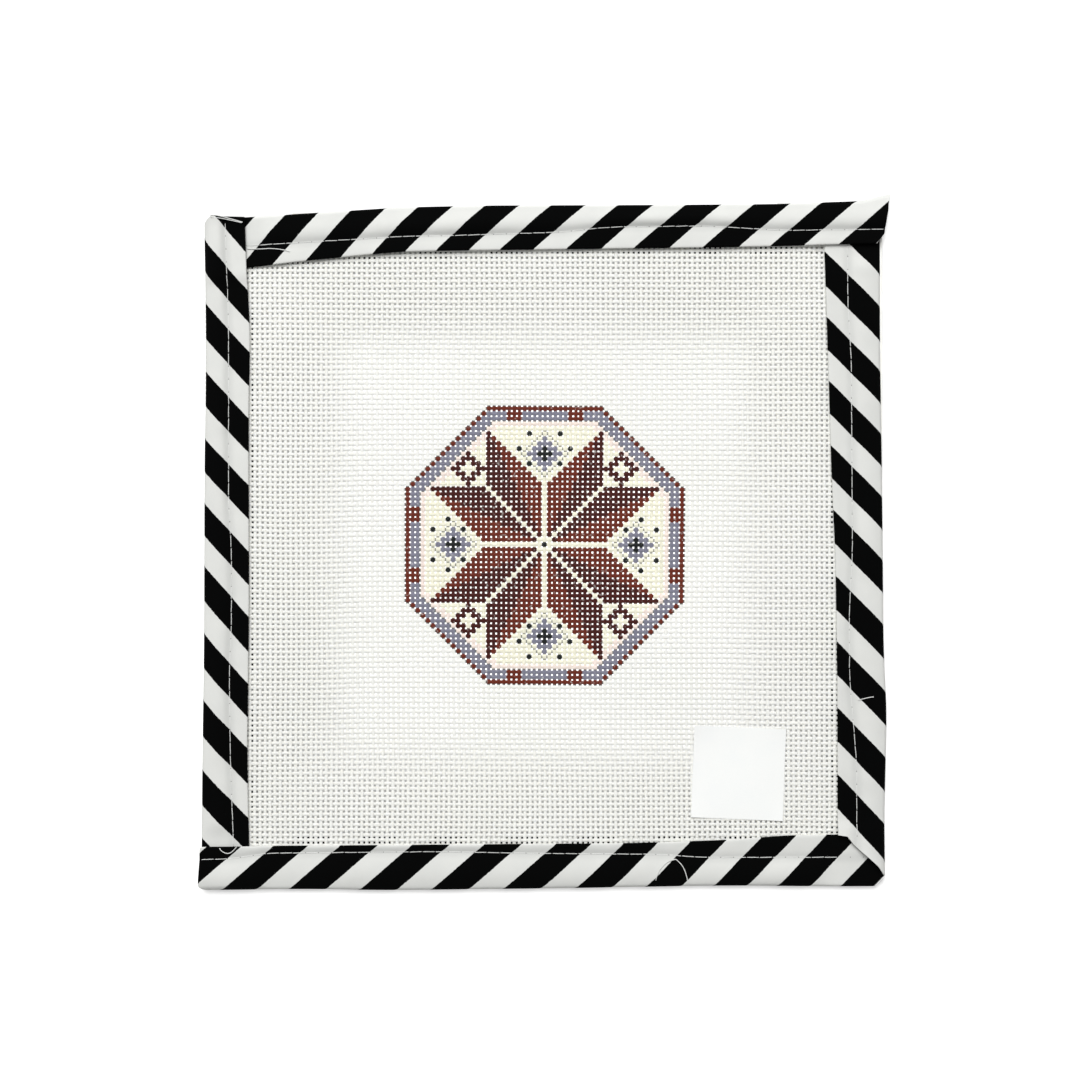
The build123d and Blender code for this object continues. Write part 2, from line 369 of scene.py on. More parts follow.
@dataclass(frozen=True)
class TapeFinish:
    """Plain-woven cotton tape with slanting stripes, read from the cloth's own maps.

    The low and high of the painted seam shade are millimetres from the seam, and those of a hole from its
    middle.
    """

    black: Colour = (0.0012, 0.0013, 0.0013)
    white: Colour = (0.675, 0.680, 0.655)
    # Painted shade: the white is darkened in the dips between the woven threads, where the weave's bump is
    # low.
    painted_weave_shade: Tint = Tint((0.55, 0.56, 0.54), 0.0, 0.5, 0.4, 0.0)
    worn: Tint = Tint((0.60, 0.61, 0.59), 0.35, 0.75, 0.0, 0.35)
    faded: Tint = Tint((0.004, 0.0045, 0.0045), 0.5, 0.85, 0.0, 0.4)
    # Painted shade: the white is darkened in the hollow along the seam, most beside it.
    painted_seam_shade: Tint = Tint((0.36, 0.37, 0.36), 0.2, 2.2, 0.22, 0.0)
    needle_hole: Tint = Tint((0.03, 0.03, 0.028), 0.085, 0.17, 0.75, 0.0)
    black_share: float = 0.52
    edge: float = 0.008
    ragged_by: float = 0.004
    ragged_scale: float = 1500.0
    fuzz_scale: float = 5200.0
    fuzz_share: float = 0.3
    cloud_scale: float = 160.0
    thread_pitch: float = 0.45 * MM
    weave_height: float = 0.06 * MM
    weave_relief: float = 0.7
    roughness: float = 0.95
    specular: float = 0.04

    def material(self) -> bpy.types.Material:
        """Build the tape's material."""
        nodes = Nodes("striped_tape")
        place = nodes.add("TexCoord").outputs["Object"]
        turns = math.tau / self.thread_pitch
        flat = nodes.axes(place)[:2]
        warp, weft = (nodes.math("SINE", nodes.math("MULTIPLY", axis, turns)) for axis in flat)
        woven = nodes.span(nodes.math("MULTIPLY", warp, weft), -1.0, 1.0, 0.0, 1.0)
        fuzz = nodes.noise(place, self.fuzz_scale)
        rough = nodes.noise(place, self.ragged_scale, 1.0)
        ragged = nodes.span(rough, 0.2, 0.8, -self.ragged_by, self.ragged_by)
        spot = nodes.math("FRACT", nodes.math("ADD", nodes.axes(nodes.uv("stripes"))[0], ragged))
        start = nodes.span(spot, 0.0, self.edge, 0.0, 1.0)
        stop = nodes.span(spot, self.black_share, self.black_share + self.edge, 1.0, 0.0)
        dark = nodes.math("MULTIPLY", start, stop)
        # Painted shade in the dips of the weave.
        white = nodes.tinted(rgba(self.white), woven, self.painted_weave_shade)
        white = nodes.tinted(white, nodes.noise(place, self.cloud_scale, 3.0), self.worn)
        black = nodes.tinted(rgba(self.black), fuzz, self.faded)
        stitch, from_seam = nodes.axes(nodes.uv("seam"))[:2]
        # Painted shade in the hollow beside the seam.
        white = nodes.tinted(white, nodes.math("ABSOLUTE", from_seam), self.painted_seam_shade)
        nearest = nodes.math("SUBTRACT", nodes.math("FRACT", stitch), 0.5)
        beside = nodes.math("MULTIPLY", nearest, Stitching().length / MM)
        apart = nodes.math("ADD", nodes.math("POWER", beside, 2.0), nodes.math("POWER", from_seam, 2.0))
        colour = nodes.tinted(nodes.mix(dark, white, black), nodes.math("SQRT", apart), self.needle_hole)
        nodes.coat(colour, self.roughness, Specular_IOR_Level=self.specular)
        fluff = nodes.math("MULTIPLY", fuzz, self.fuzz_share)
        height = nodes.math("MULTIPLY_ADD", woven, 1.0 - self.fuzz_share, fluff)
        nodes.raise_surface(height, self.weave_height, self.weave_relief)
        return nodes.material


@dataclass(frozen=True)
class ThreadFinish:
    """Fine two-ply sewing thread."""

    colour: Colour = (0.70, 0.71, 0.69)
    # Painted shade: the thread is darkened in the grooves between its plies.
    painted_shade_between_plies: Tint = Tint((0.46, 0.47, 0.46), 0.0, 0.5, 0.35, 0.0)
    fluff: Tint = Tint((0.82, 0.82, 0.80), 0.3, 0.8, 0.0, 0.3)
    fluff_scale: float = 6000.0
    twist_pitch: float = 0.5 * MM
    ply_height: float = 0.05 * MM
    ply_relief: float = 0.8
    roughness: float = 0.6
    sheen: float = 0.3

    def material(self) -> bpy.types.Material:
        """Build the sewing thread's material."""
        nodes = Nodes("sewing_thread")
        place = nodes.add("TexCoord").outputs["Object"]
        x, y, z = nodes.axes(place)
        slant = nodes.math("ADD", nodes.math("ADD", x, y), z)
        twist = nodes.math("SINE", nodes.math("MULTIPLY", slant, math.tau / self.twist_pitch))
        plies = nodes.span(twist, -1.0, 1.0, 0.0, 1.0)
        # Painted shade in the grooves between the plies.
        colour = nodes.tinted(rgba(self.colour), plies, self.painted_shade_between_plies)
        colour = nodes.tinted(colour, nodes.noise(place, self.fluff_scale), self.fluff)
        nodes.coat(colour, self.roughness, Sheen_Weight=self.sheen)
        nodes.raise_surface(plies, self.ply_height, self.ply_relief)
        return nodes.material


@dataclass(frozen=True)
class PaperFinish:
    """Smooth matt white paper."""

    colour: Colour = (0.835, 0.845, 0.830)
    pulp: Tint = Tint((0.77, 0.785, 0.775), 0.35, 0.8, 0.0, 0.3)
    clouds: Tint = Tint((0.80, 0.82, 0.815), 0.4, 0.8, 0.0, 0.4)
    pulp_scale: float = 2600.0
    cloud_scale: float = 180.0
    pulp_height: float = 0.02 * MM
    pulp_relief: float = 0.4
    roughness: float = 0.5

    def material(self) -> bpy.types.Material:
        """Build the label's material."""
        nodes = Nodes("label_paper")
        place = nodes.add("TexCoord").outputs["Object"]
        pulpy = nodes.noise(place, self.pulp_scale, 4.0)
        colour = nodes.tinted(rgba(self.colour), pulpy, self.pulp)
        colour = nodes.tinted(colour, nodes.noise(place, self.cloud_scale), self.clouds)
        nodes.coat(colour, self.roughness)
        nodes.raise_surface(pulpy, self.pulp_height, self.pulp_relief)
        return nodes.material


@dataclass(frozen=True)
class TableFinish:
    """A plain white table that glows white to the camera, with painted light under the middle of the canvas
    where it rests and painted shade under its raised edge.
    """

    colour: Colour = (0.86, 0.86, 0.855)
    clouds: Tint = Tint((0.88, 0.88, 0.875), 0.3, 0.7, 0.0, 0.2)
    cloud_scale: float = 4.0
    roughness: float = 0.95
    open_glow: float = 0.42
    # Painted light and shade: the glow seen through the mesh is brighter where the canvas rests and dimmer
    # where it is raised.
    rested_painted_light: float = 0.54
    raised_painted_shade: float = 0.07
    rested_reach: float = 40.0 * MM
    raised_reach: float = 80.0 * MM
    covered_reach: float = 90.0 * MM
    open_reach: float = 96.0 * MM

    def material(self) -> bpy.types.Material:
        """Build the table's material."""
        nodes = Nodes("white_table")
        place = nodes.add("TexCoord").outputs["Object"]
        colour = nodes.tinted(rgba(self.colour), nodes.noise(place, self.cloud_scale, 1.0), self.clouds)
        nodes.coat(colour, self.roughness, Specular_IOR_Level=0.0)
        path = nodes.add("LightPath").outputs
        seen = nodes.math("MAXIMUM", path["Is Camera Ray"], path["Is Glossy Ray"])
        seen = nodes.math("MAXIMUM", seen, path["Is Transmission Ray"])
        out_x, out_y = (nodes.math("ABSOLUTE", axis) for axis in nodes.axes(place)[:2])
        reach = nodes.math("MAXIMUM", out_x, out_y)
        # Painted light under the resting middle of the canvas, fading to painted shade towards its raised
        # edge.
        below = nodes.span(reach, self.rested_reach, self.raised_reach, self.rested_painted_light, self.raised_painted_shade)
        beyond = nodes.span(reach, self.covered_reach, self.open_reach, 0.0, self.open_glow)
        strength = nodes.math("MULTIPLY", seen, nodes.math("MAXIMUM", below, beyond))
        glow = nodes.add("Emission", None, Strength=strength)
        both = nodes.add("AddShader")
        nodes.feed(both.inputs[0], nodes.shader.outputs[0])
        nodes.feed(both.inputs[1], glow.outputs[0])
        nodes.feed(nodes.tree.nodes["Material Output"].inputs["Surface"], both.outputs[0])
        return nodes.material


def linked(name: str, data: bpy.types.ID) -> Piece:
    """Put a new object that shows the given mesh or curve into the scene."""
    made = bpy.data.objects.new(name, data)
    bpy.context.scene.collection.objects.link(made)
    return made


def mesh_object(name: str, points: np.ndarray, faces: np.ndarray) -> Piece:
    """Make a mesh object of four-cornered faces.

    Args:
        name: The object's name.
        points: The points, three numbers each.
        faces: The faces, four point numbers each.

    Returns:
        The object, linked to the scene and smooth.
    """
    mesh = bpy.data.meshes.new(name)
    mesh.from_pydata(points.reshape(-1, 3).tolist(), [], faces.reshape(-1, 4).tolist())
    mesh.polygons.foreach_set("use_smooth", np.ones(len(mesh.polygons), bool))
    mesh.update()
    return linked(name, mesh)


def add_map(mesh: bpy.types.Mesh, name: str, places: np.ndarray) -> None:
    """Give a mesh a UV map.

    Args:
        mesh: The mesh.
        name: The map's name.
        places: Two numbers for each corner of each face.
    """
    layer = mesh.uv_layers.new(name=name)
    layer.data.foreach_set("uv", places.astype(np.float32).ravel())


def pick(piece: Piece) -> None:
    """Make a piece the only selected and the active one."""
    bpy.ops.object.select_all(action="DESELECT")
    piece.select_set(True)
    bpy.context.view_layer.objects.active = piece


@contextmanager
def whole_mesh() -> Iterator[None]:
    """Edit the active piece's mesh with all of it selected."""
    bpy.ops.object.mode_set(mode="EDIT")
    bpy.ops.mesh.select_all(action="SELECT")
    yield
    bpy.ops.object.mode_set(mode="OBJECT")


def thicken(piece: Piece, thickness: float, smooth_under: float) -> None:
    """Give a sheet its thickness, half of it to each side, and keep its cut edges crisp.

    Args:
        piece: The sheet.
        thickness: How thick it gets.
        smooth_under: The angle in degrees up to which faces are shaded as one.
    """
    pick(piece)
    thick = piece.modifiers.new("thickness", "SOLIDIFY")
    thick.thickness = thickness
    thick.offset = 0.0
    bpy.ops.object.modifier_apply(modifier=thick.name)
    bpy.ops.object.shade_smooth_by_angle(angle=math.radians(smooth_under))


def dress(piece: Piece, material: bpy.types.Material, slot: Slot, *nodes: str) -> Piece:
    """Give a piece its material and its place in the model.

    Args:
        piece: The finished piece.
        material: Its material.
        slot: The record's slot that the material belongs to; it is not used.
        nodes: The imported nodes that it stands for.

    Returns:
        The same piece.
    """
    piece.data.materials.clear()
    piece.data.materials.append(material)
    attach(piece, BODY)
    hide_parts(*nodes)
    LOG.info("%s: %d faces, stands for %s", piece.name, len(piece.data.polygons), ", ".join(nodes))
    return piece


@dataclass(frozen=True)
class Cloth:
    """The binding tape's cloth, and how it is folded round the canvas."""

    thickness: float = 0.25 * MM
    fold_gap: float = 0.06 * MM
    clearance: float = 0.02 * MM
    hem_end_from_edge: float = 2.5 * MM
    back_width: float = 14.6 * MM
    lap_allowance: float = 1.4 * MM
    ramp_length: float = 3.0 * MM
    station_step: float = 1.25 * MM
    wrap_steps: int = 12
    turn_steps: int = 6
    leg_steps: int = 26
    hem_steps: int = 8

    @property
    def layered(self) -> float:
        """The height of two layers of the cloth."""
        return 2 * self.thickness + self.fold_gap

    def flat_opening(self, canvas: "CanvasSizes") -> float:
        """Half the gap between the legs where only the canvas lies between them."""
        return canvas.layer_height + self.clearance

    def lapped_opening(self, canvas: "CanvasSizes") -> float:
        """Half the gap between the legs where a covered strip lies between them."""
        return self.flat_opening(canvas) + self.layered + self.clearance


@dataclass(frozen=True)
class CanvasSizes:
    """The canvas's count, threads and lie."""

    pitch: float = 25.4 * MM / 18
    thread_width: float = 0.92 * MM
    thread_thickness: float = 0.16 * MM
    wave_height: float = 0.08 * MM
    layer_height: float = 0.36 * MM
    sag: float = 1.53 * MM
    sag_margin: float = 1.0 * MM
    sag_reach: float = 34.0 * MM
    drift: float = 0.16 * MM
    jitter: float = 0.035 * MM
    swell: float = 0.05
    sag_unevenness: float = 0.03
    drift_free_from: float = 12.0 * MM
    sag_ripple: Ripple = Ripple(11, 60 * MM, 150 * MM, 4)
    drift_right: Ripple = Ripple(21, 45 * MM, 140 * MM)
    drift_up: Ripple = Ripple(22, 45 * MM, 140 * MM)
    jitter_ripple: Ripple = Ripple(41, 9 * MM, 40 * MM)
    swell_ripple: Ripple = Ripple(43, 4 * MM, 16 * MM)
    first_column: int = -59
    last_column: int = 58
    first_row: int = -60
    last_row: int = 60

    @property
    def middle(self) -> float:
        """The height of the canvas's middle, where its two layers of threads meet."""
        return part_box("canvas_crosswise_threads")[1].z

    def window_depth(self, x: np.ndarray, y: np.ndarray) -> tuple[np.ndarray, np.ndarray]:
        """The distances in from the nearer side edge and from the nearer end edge of the open mesh."""
        in_x = np.minimum(x - self.first_column * self.pitch, self.last_column * self.pitch - x)
        in_y = np.minimum(y - self.first_row * self.pitch, self.last_row * self.pitch - y)
        return in_x, in_y

    def drop(self, x: np.ndarray, y: np.ndarray) -> np.ndarray:
        """How far the canvas hangs below its bound height.

        Args:
            x: Places to the right.
            y: Places to the top.

        Returns:
            The drop at each place.
        """
        in_x, in_y = self.window_depth(x, y)
        ease_x = smooth_step((in_x - self.sag_margin) / self.sag_reach)
        ease_y = smooth_step((in_y - self.sag_margin) / self.sag_reach)
        unevenness = np.clip(self.sag_ripple.at(x, y), -1.0, 1.0)
        uneven = 1.0 - self.sag_unevenness + self.sag_unevenness * unevenness
        return self.sag * ease_x * ease_y * uneven

    def shift(self, x: np.ndarray, y: np.ndarray) -> tuple[np.ndarray, np.ndarray]:
        """How far the mesh is pulled out of square, to the right and to the top.

        Args:
            x: Places to the right.
            y: Places to the top.

        Returns:
            The two shifts at each place.
        """
        in_x, in_y = self.window_depth(x, y)
        free = smooth_step(np.minimum(in_x, in_y) / self.drift_free_from)
        ripples = (self.drift_right, self.drift_up)
        to_right, to_top = (self.drift * ripple.at(x, y) * free for ripple in ripples)
        return to_right, to_top


@dataclass(frozen=True)
class Medallion:
    """The painted star in its eight-sided band, counted in stitches from its middle."""

    petal: int = 11
    ring_start: float = 24.4
    blush_width: float = 1.2
    band_end: float = 26.2
    ring_end: float = 27.4
    notch_at: int = 18
    notch_reach: int = 3
    rosette_at: int = 15
    rosette_reach: int = 3
    band_break_at: int = 6
    band_break_reach: int = 2
    seeds: tuple[tuple[int, int], ...] = ((16, 3), (19, 5), (22, 3))

    def folded(self, column: np.ndarray, row: np.ndarray) -> tuple[np.ndarray, np.ndarray]:
        """The stitch's place in the eighth of the design that the others mirror."""
        right, up = np.abs(column), np.abs(row)
        return np.maximum(right, up), np.minimum(right, up)

    def reach(self, far: np.ndarray, near: np.ndarray) -> np.ndarray:
        """The size of the octagon that passes through a stitch."""
        return np.maximum(far, (far + near) * math.sqrt(0.5))

    def ground(self, column: np.ndarray, row: np.ndarray) -> np.ndarray:
        """Which ruled field a stitch lies in: pen lines run where fields meet.

        Args:
            column: Stitches to the right of the middle.
            row: Stitches above the middle.

        Returns:
            The field's number, 0 outside the design.
        """
        far, near = self.folded(column, row)
        reach = self.reach(far, near)
        inner = (reach < self.ring_start).astype(int)
        notch = (np.abs(far - self.notch_at) + near <= self.notch_reach + 1).astype(int)
        return (reach < self.ring_end).astype(int) + inner + notch * inner

    def dyes(self, column: np.ndarray, row: np.ndarray) -> np.ndarray:
        """The paint on each stitch.

        Args:
            column: Stitches to the right of the middle.
            row: Stitches above the middle.

        Returns:
            For each stitch, four numbers: its colour, and 1 where it is painted.
        """
        far, near = self.folded(column, row)
        reach = self.reach(far, near)
        petal = (near >= 1) & (near <= self.petal) & (far > near) & (far <= near + self.petal)
        notch = np.abs(far - self.notch_at) + near
        rosette = np.abs(far - self.rosette_at) + np.abs(near - self.rosette_at)
        seeds = np.any([(far == out) & (near == beside) for out, beside in self.seeds], axis=0)
        band = reach < self.band_end
        inside = reach < self.ring_start
        steps = [
            (reach < self.ring_end, Dye.RUST),
            (band, Dye.SLATE),
            (band & (np.abs(near - self.band_break_at) < self.band_break_reach), Dye.RUST),
            (inside, Dye.CREAM),
            (inside & (reach > self.ring_start - self.blush_width), Dye.BLUSH),
            (petal, Dye.MAROON),
            (petal & (far > 2 * near), Dye.RUST),
            (notch <= self.notch_reach, Dye.SLATE),
            (notch <= 1, Dye.BLACK),
            (rosette <= self.rosette_reach, Dye.MAROON),
            (rosette <= 1, Dye.CREAM),
            (seeds, Dye.BLACK),
            (far + near == 0, Dye.BLACK),
        ]
        colours = np.zeros((*far.shape, 4))
        for where, dye in steps:
            colours[where] = rgba(dye.value)
        return colours


@dataclass
class WovenCanvas:
    """The mono canvas: every thread passes over and under those that cross it, and ends under the tape."""

    sizes: CanvasSizes
    medallion: Medallion
    finish: CanvasFinish
    section_across: tuple[float, ...] = (0.5, 0.4, -0.4, -0.5, -0.4, 0.4)
    section_up: tuple[float, ...] = (0.0, 0.5, 0.5, 0.0, -0.5, -0.5)
    turn_share: float = 0.25
    thread_seed: int = 31
    bake_end_margin: float = 0.01
    bake_row_margin: float = 0.06
    bake_cap_run: tuple[float, float] = (0.002, 0.008)

    def thread_ends(self, node: str, lie: Lie) -> ThreadEnds:
        """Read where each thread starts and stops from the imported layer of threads.

        Args:
            node: The layer's node.
            lie: The way its threads run.

        Returns:
            For each thread's number, the places of its two ends.
        """
        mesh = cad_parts[node].data
        places = np.empty(len(mesh.vertices) * 3)
        mesh.vertices.foreach_get("co", places)
        places = places.reshape(-1, 3)
        along = places[:, lie.value]
        numbers = np.round(places[:, 1 - lie.value] / self.sizes.pitch).astype(int)
        return {int(n): (along[numbers == n].min(), along[numbers == n].max()) for n in np.unique(numbers)}

    def crossings(self, lie: Lie) -> tuple[int, int]:
        """The first and last thread that those of this lie cross in the open mesh."""
        if lie is Lie.CROSSWISE:
            return self.sizes.first_column, self.sizes.last_column
        return self.sizes.first_row, self.sizes.last_row

    def tubes(
        self, lie: Lie, numbers: np.ndarray, along: np.ndarray, lift: np.ndarray
    ) -> tuple[np.ndarray, np.ndarray]:
        """Build the threads' points and faces.

        Args:
            lie: The way the threads run.
            numbers: Each thread's number.
            along: For each thread, the places of its rings.
            lift: For each ring, its height over the canvas's middle.

        Returns:
            The points, by thread, ring and corner, and the faces, by thread.
        """
        sizes = self.sizes
        threads, rings = along.shape
        corners = len(self.section_up)
        across = np.repeat(numbers[:, None] * sizes.pitch, rings, axis=1)
        draw = np.random.default_rng(self.thread_seed + lie.value)
        lean = draw.uniform(0.0, 1000.0, threads)[:, None] * MM
        across = across + sizes.jitter * sizes.jitter_ripple.at(along + 7 * lean, lean)
        x, y = (along, across) if lie is Lie.CROSSWISE else (across, along)
        to_right, to_top = sizes.shift(x, y)
        middle = np.stack([x + to_right, y + to_top, sizes.middle + lift - sizes.drop(x, y)], axis=-1)
        swell = 1.0 + sizes.swell * sizes.swell_ripple.at(along + 5 * lean, lean)
        points = np.repeat(middle[:, :, None, :], corners, axis=2)
        way = 1.0 if lie is Lie.CROSSWISE else -1.0
        side = np.array(self.section_across) * way * sizes.thread_width
        points[..., 1 - lie.value] += swell[:, :, None] * side
        points[..., 2] += np.array(self.section_up) * sizes.thread_thickness
        here = np.arange(rings - 1)[:, None] * corners
        there = here + corners
        corner = np.arange(corners)[None, :]
        after = (corner + 1) % corners
        walls = np.stack([here + corner, here + after, there + after, there + corner], axis=-1)
        last = (rings - 1) * corners
        near_cap = np.array([[3, 2, 1, 0], [5, 4, 3, 0]])
        far_cap = last + np.array([[0, 1, 2, 3], [0, 3, 4, 5]])
        one = np.concatenate([walls.reshape(-1, 4), near_cap, far_cap])
        faces = one[None] + (np.arange(threads) * rings * corners)[:, None, None]
        return points, faces

    def maps(self, along: np.ndarray) -> tuple[np.ndarray, np.ndarray]:
        """Lay the threads out flat, for the material and for baking.

        Args:
            along: For each thread, the places of its rings.

        Returns:
            The weave's map, in stitches along and turns round, and the baking map.
        """
        threads, rings = along.shape
        corners = len(self.section_up)
        stitches = along / self.sizes.pitch + 0.5
        run = np.stack([stitches[:, :-1], stitches[:, :-1], stitches[:, 1:], stitches[:, 1:]], axis=-1)
        run = np.repeat(run[:, :, None, :], corners, axis=2).reshape(threads, -1, 4)
        turn = np.arange(corners)[:, None] + np.array([0, 1, 1, 0])[None, :]
        turn = np.tile(turn / corners, (threads, rings - 1, 1, 1)).reshape(threads, -1, 4)
        ends = np.repeat(stitches[:, [0, 0, -1, -1]][..., None], 4, axis=-1)
        around = np.concatenate([turn, np.zeros_like(ends)], 1)
        weave = np.stack([np.concatenate([run, ends], 1), around], -1)
        share = np.arange(rings - 1)[:, None] + np.array([0, 0, 1, 1])[None, :]
        share = self.bake_end_margin + (1.0 - 2 * self.bake_end_margin) * share / (rings - 1)
        share = np.tile(np.repeat(share[:, None, :], corners, axis=1).reshape(-1, 4), (threads, 1, 1))
        near, far = self.bake_cap_run
        cap_run = np.array([[near, near, far, far], [near, far, far, near]] * 2)
        cap_run[2:] = 1.0 - cap_run[2:]
        cap_turn = np.array([[0.1, 0.4, 0.4, 0.1], [0.6, 0.6, 0.9, 0.9]] * 2)
        baked_run = np.concatenate([share, np.tile(cap_run, (threads, 1, 1))], 1)
        baked_turn = np.concatenate([turn, np.tile(cap_turn, (threads, 1, 1))], 1)
        in_row = self.bake_row_margin + (1.0 - 2 * self.bake_row_margin) * baked_turn
        rows = (np.arange(threads)[:, None, None] + in_row) / threads
        return weave, np.stack([baked_run, rows], -1)

    def paint(self, lie: Lie, numbers: np.ndarray, count: int) -> tuple[np.ndarray, np.ndarray, np.ndarray]:
        """Work out the paint and pen on each stretch of the open mesh's threads.

        Args:
            lie: The way the threads run.
            numbers: Each thread's number.
            count: How many crossings each has.

        Returns:
            The colours at the start and at the end of each stretch between two rings, and its pen mark.
        """
        first = self.crossings(lie)[0]
        stretch = np.arange(2 * count - 1)
        before = first + stretch // 2
        sloping = (stretch % 2 == 1)[None, :]
        thread = np.repeat(numbers[:, None], len(stretch), axis=1)
        left = np.repeat(before[None, :], len(numbers), axis=0)
        right = left + sloping
        pairs = [(left, thread), (right, thread)]
        if lie is Lie.LENGTHWISE:
            pairs = [(row, column) for column, row in pairs]
        colours, onward = (self.medallion.dyes(*pair) for pair in pairs)
        crossed = self.medallion.ground(*pairs[0]) != self.medallion.ground(*pairs[1])
        return colours, onward, crossed.astype(float)

    def threads(
        self, name: str, lie: Lie, numbers: np.ndarray, along: np.ndarray, lift: np.ndarray, paint: tuple
    ) -> Piece:
        """Model threads as tubes with their maps, paint and pen marks.

        Args:
            name: The piece's name.
            lie: The way the threads run.
            numbers: Each thread's number.
            along: For each thread, the places of its rings.
            lift: For each ring, its height over the canvas's middle.
            paint: For each stretch between rings, the paint at its start and at its end, and its pen mark.

        Returns:
            The threads, as one piece.
        """
        points, faces = self.tubes(lie, numbers, along, lift)
        piece = mesh_object(name, points, faces)
        for key, places in zip(("weave", "OFBake"), self.maps(along)):
            add_map(piece.data, key, places)
        corners = len(self.section_up)
        caps = ((0, 0), (0, 4))
        colours, onward, pen = paint
        for key, colour in (("paint", colours), ("paint_onward", onward)):
            on_faces = np.pad(np.repeat(colour, corners, axis=1), (*caps, (0, 0)))
            layer = piece.data.color_attributes.new(name=key, type="FLOAT_COLOR", domain="CORNER")
            layer.data.foreach_set("color", np.repeat(on_faces, 4, axis=1).astype(np.float32).ravel())
        on_faces = np.pad(np.repeat(pen, corners, axis=1), caps)
        marks = piece.data.attributes.new(name="pen", type="FLOAT", domain="CORNER")
        marks.data.foreach_set("value", np.repeat(on_faces, 4, axis=1).astype(np.float32).ravel())
        return piece

    def open_threads(self, name: str, lie: Lie, ends: ThreadEnds, numbers: list[int]) -> Piece:
        """Weave a set of threads through the open mesh, straight under the tape at both ends.

        Args:
            name: The piece's name.
            lie: The way the threads run.
            ends: Where each thread starts and stops.
            numbers: The threads to weave.

        Returns:
            The threads, as one piece.
        """
        sizes = self.sizes
        low, high = self.crossings(lie)
        cells = np.arange(low, high + 1)
        picked = np.array(numbers)
        turns = np.stack([cells - self.turn_share, cells + self.turn_share], -1).ravel()
        outermost = (low - 1 + self.turn_share, high + 1 - self.turn_share)
        places = np.concatenate([outermost[:1], turns, outermost[1:]]) * sizes.pitch
        starts, stops = (np.array([ends[n][end] for n in numbers])[:, None] for end in (0, 1))
        along = np.concatenate([starts, np.tile(places, (len(picked), 1)), stops], axis=1)
        over = (cells[None, :] + picked[:, None]) % 2 == lie.value
        waves = np.repeat(np.where(over, 1.0, -1.0), 2, axis=1)
        flat = np.full((len(picked), 2), -1.0 if lie is Lie.CROSSWISE else 1.0)
        lift = np.concatenate([flat, waves, flat], axis=1) * sizes.wave_height / 2
        covered = ((0, 0), (2, 2))
        colours, onward, pen = self.paint(lie, picked, len(cells))
        colours, onward = (np.pad(colour, (*covered, (0, 0))) for colour in (colours, onward))
        return self.threads(name, lie, picked, along, lift, (colours, onward, np.pad(pen, covered)))

    def hidden_threads(self, name: str, lie: Lie, ends: ThreadEnds) -> Piece:
        """Lay the straight threads that are under the tape all the way.

        Args:
            name: The piece's name.
            lie: The way the threads run.
            ends: Where each thread starts and stops.

        Returns:
            The threads, as one piece.
        """
        low, high = self.crossings(Lie(1 - lie.value))
        numbers = np.array([n for n in sorted(ends) if n < low or n > high])
        along = np.array([ends[int(n)] for n in numbers])
        level = -0.5 if lie is Lie.CROSSWISE else 0.5
        lift = np.full(along.shape, level * self.sizes.wave_height)
        bare = np.zeros((len(numbers), 1, 4))
        return self.threads(name, lie, numbers, along, lift, (bare, bare, bare[..., 0]))

    def build(self) -> None:
        """Weave the whole canvas, as two halves of each lie and the threads under the tape."""
        material = self.finish.material()
        for lie in Lie:
            word = lie.name.lower()
            node = f"canvas_{word}_threads"
            ends = self.thread_ends(node, lie)
            low, high = self.crossings(Lie(1 - lie.value))
            names = ("lower", "upper") if lie is Lie.CROSSWISE else ("left", "right")
            for half, numbers in zip(names, (range(low, 0), range(0, high + 1))):
                piece = self.open_threads(f"{word}_threads_{half}", lie, ends, list(numbers))
                dress(piece, material, Slot.CANVAS, node)
            hidden = self.hidden_threads(f"{word}_threads_under_tape", lie, ends)
            dress(hidden, material, Slot.CANVAS, node)


@dataclass(frozen=True)
class Course:
    """A value that changes along a strip or across it, known at a few places in millimetres."""

    knots: Knots
    unit: float = MM
    ease: float = 0.0
    samples: int = 7

    def at(self, place: np.ndarray) -> np.ndarray:
        """Read the value.

        Args:
            place: Places, in metres.

        Returns:
            The value at each place.
        """
        places, values = zip(*self.knots)
        steps = np.linspace(-self.ease, self.ease, self.samples)
        return sum(np.interp(place / MM + step, places, values) for step in steps) / self.samples * self.unit


@dataclass(frozen=True)
class Stitching:
    """The lockstitch that holds the tape, as rows of stitches with a small gap between them.

    One stitch is a ball drawn out along X. Its points further from the axis than blunt_from, a share of the
    thread's thickness, are set at the thread's radius. Its ends dive into the cloth, more suddenly the higher
    dive is, and its axis lies proud of the cloth's face by a share of the thread's thickness.
    """

    length: float = 3.6 * MM
    gap: float = 0.06 * MM
    thread: float = 0.22 * MM
    lean_in_mm: float = 0.06
    proud: float = 0.2
    blunt_from: float = 0.2
    dive: int = 10
    sides: int = 6
    rings: int = 7


@dataclass(frozen=True)
class Puffing:
    """How the tape's front leg swells, creases and gathers beside its seam, and lifts at its raw end."""

    outside: float = 0.82 * MM
    inside: float = 0.42 * MM
    swell: float = 0.22
    swell_lengths: tuple[float, float] = (16 * MM, 60 * MM)
    swell_seed: int = 80
    crease: float = 0.30 * MM
    crease_lengths: tuple[float, float] = (4 * MM, 11 * MM)
    crease_waves: int = 8
    crease_lean: float = 0.6
    crease_stretch: float = 0.3
    crease_start: float = 0.8 * MM
    crease_reach: float = 4.0 * MM
    crease_seed: int = 70
    gather: float = 0.10 * MM
    gather_start: float = 0.3 * MM
    gather_reach: float = 1.2 * MM
    end_lift: float = 0.42 * MM
    end_reach: float = 1.5 * MM
    covered_reach: float = 5.0 * MM


@dataclass(frozen=True)
class StripCourses:
    """How one strip's edges, seam and stripes run: places along it, and distances in from its edge."""

    edge: Course
    front: Course
    seam: Course
    slant: Course
    stripes: tuple[tuple[float, int], ...]
    start: Course
    finish: Course
    seam_inset: float
    crest_skew: float


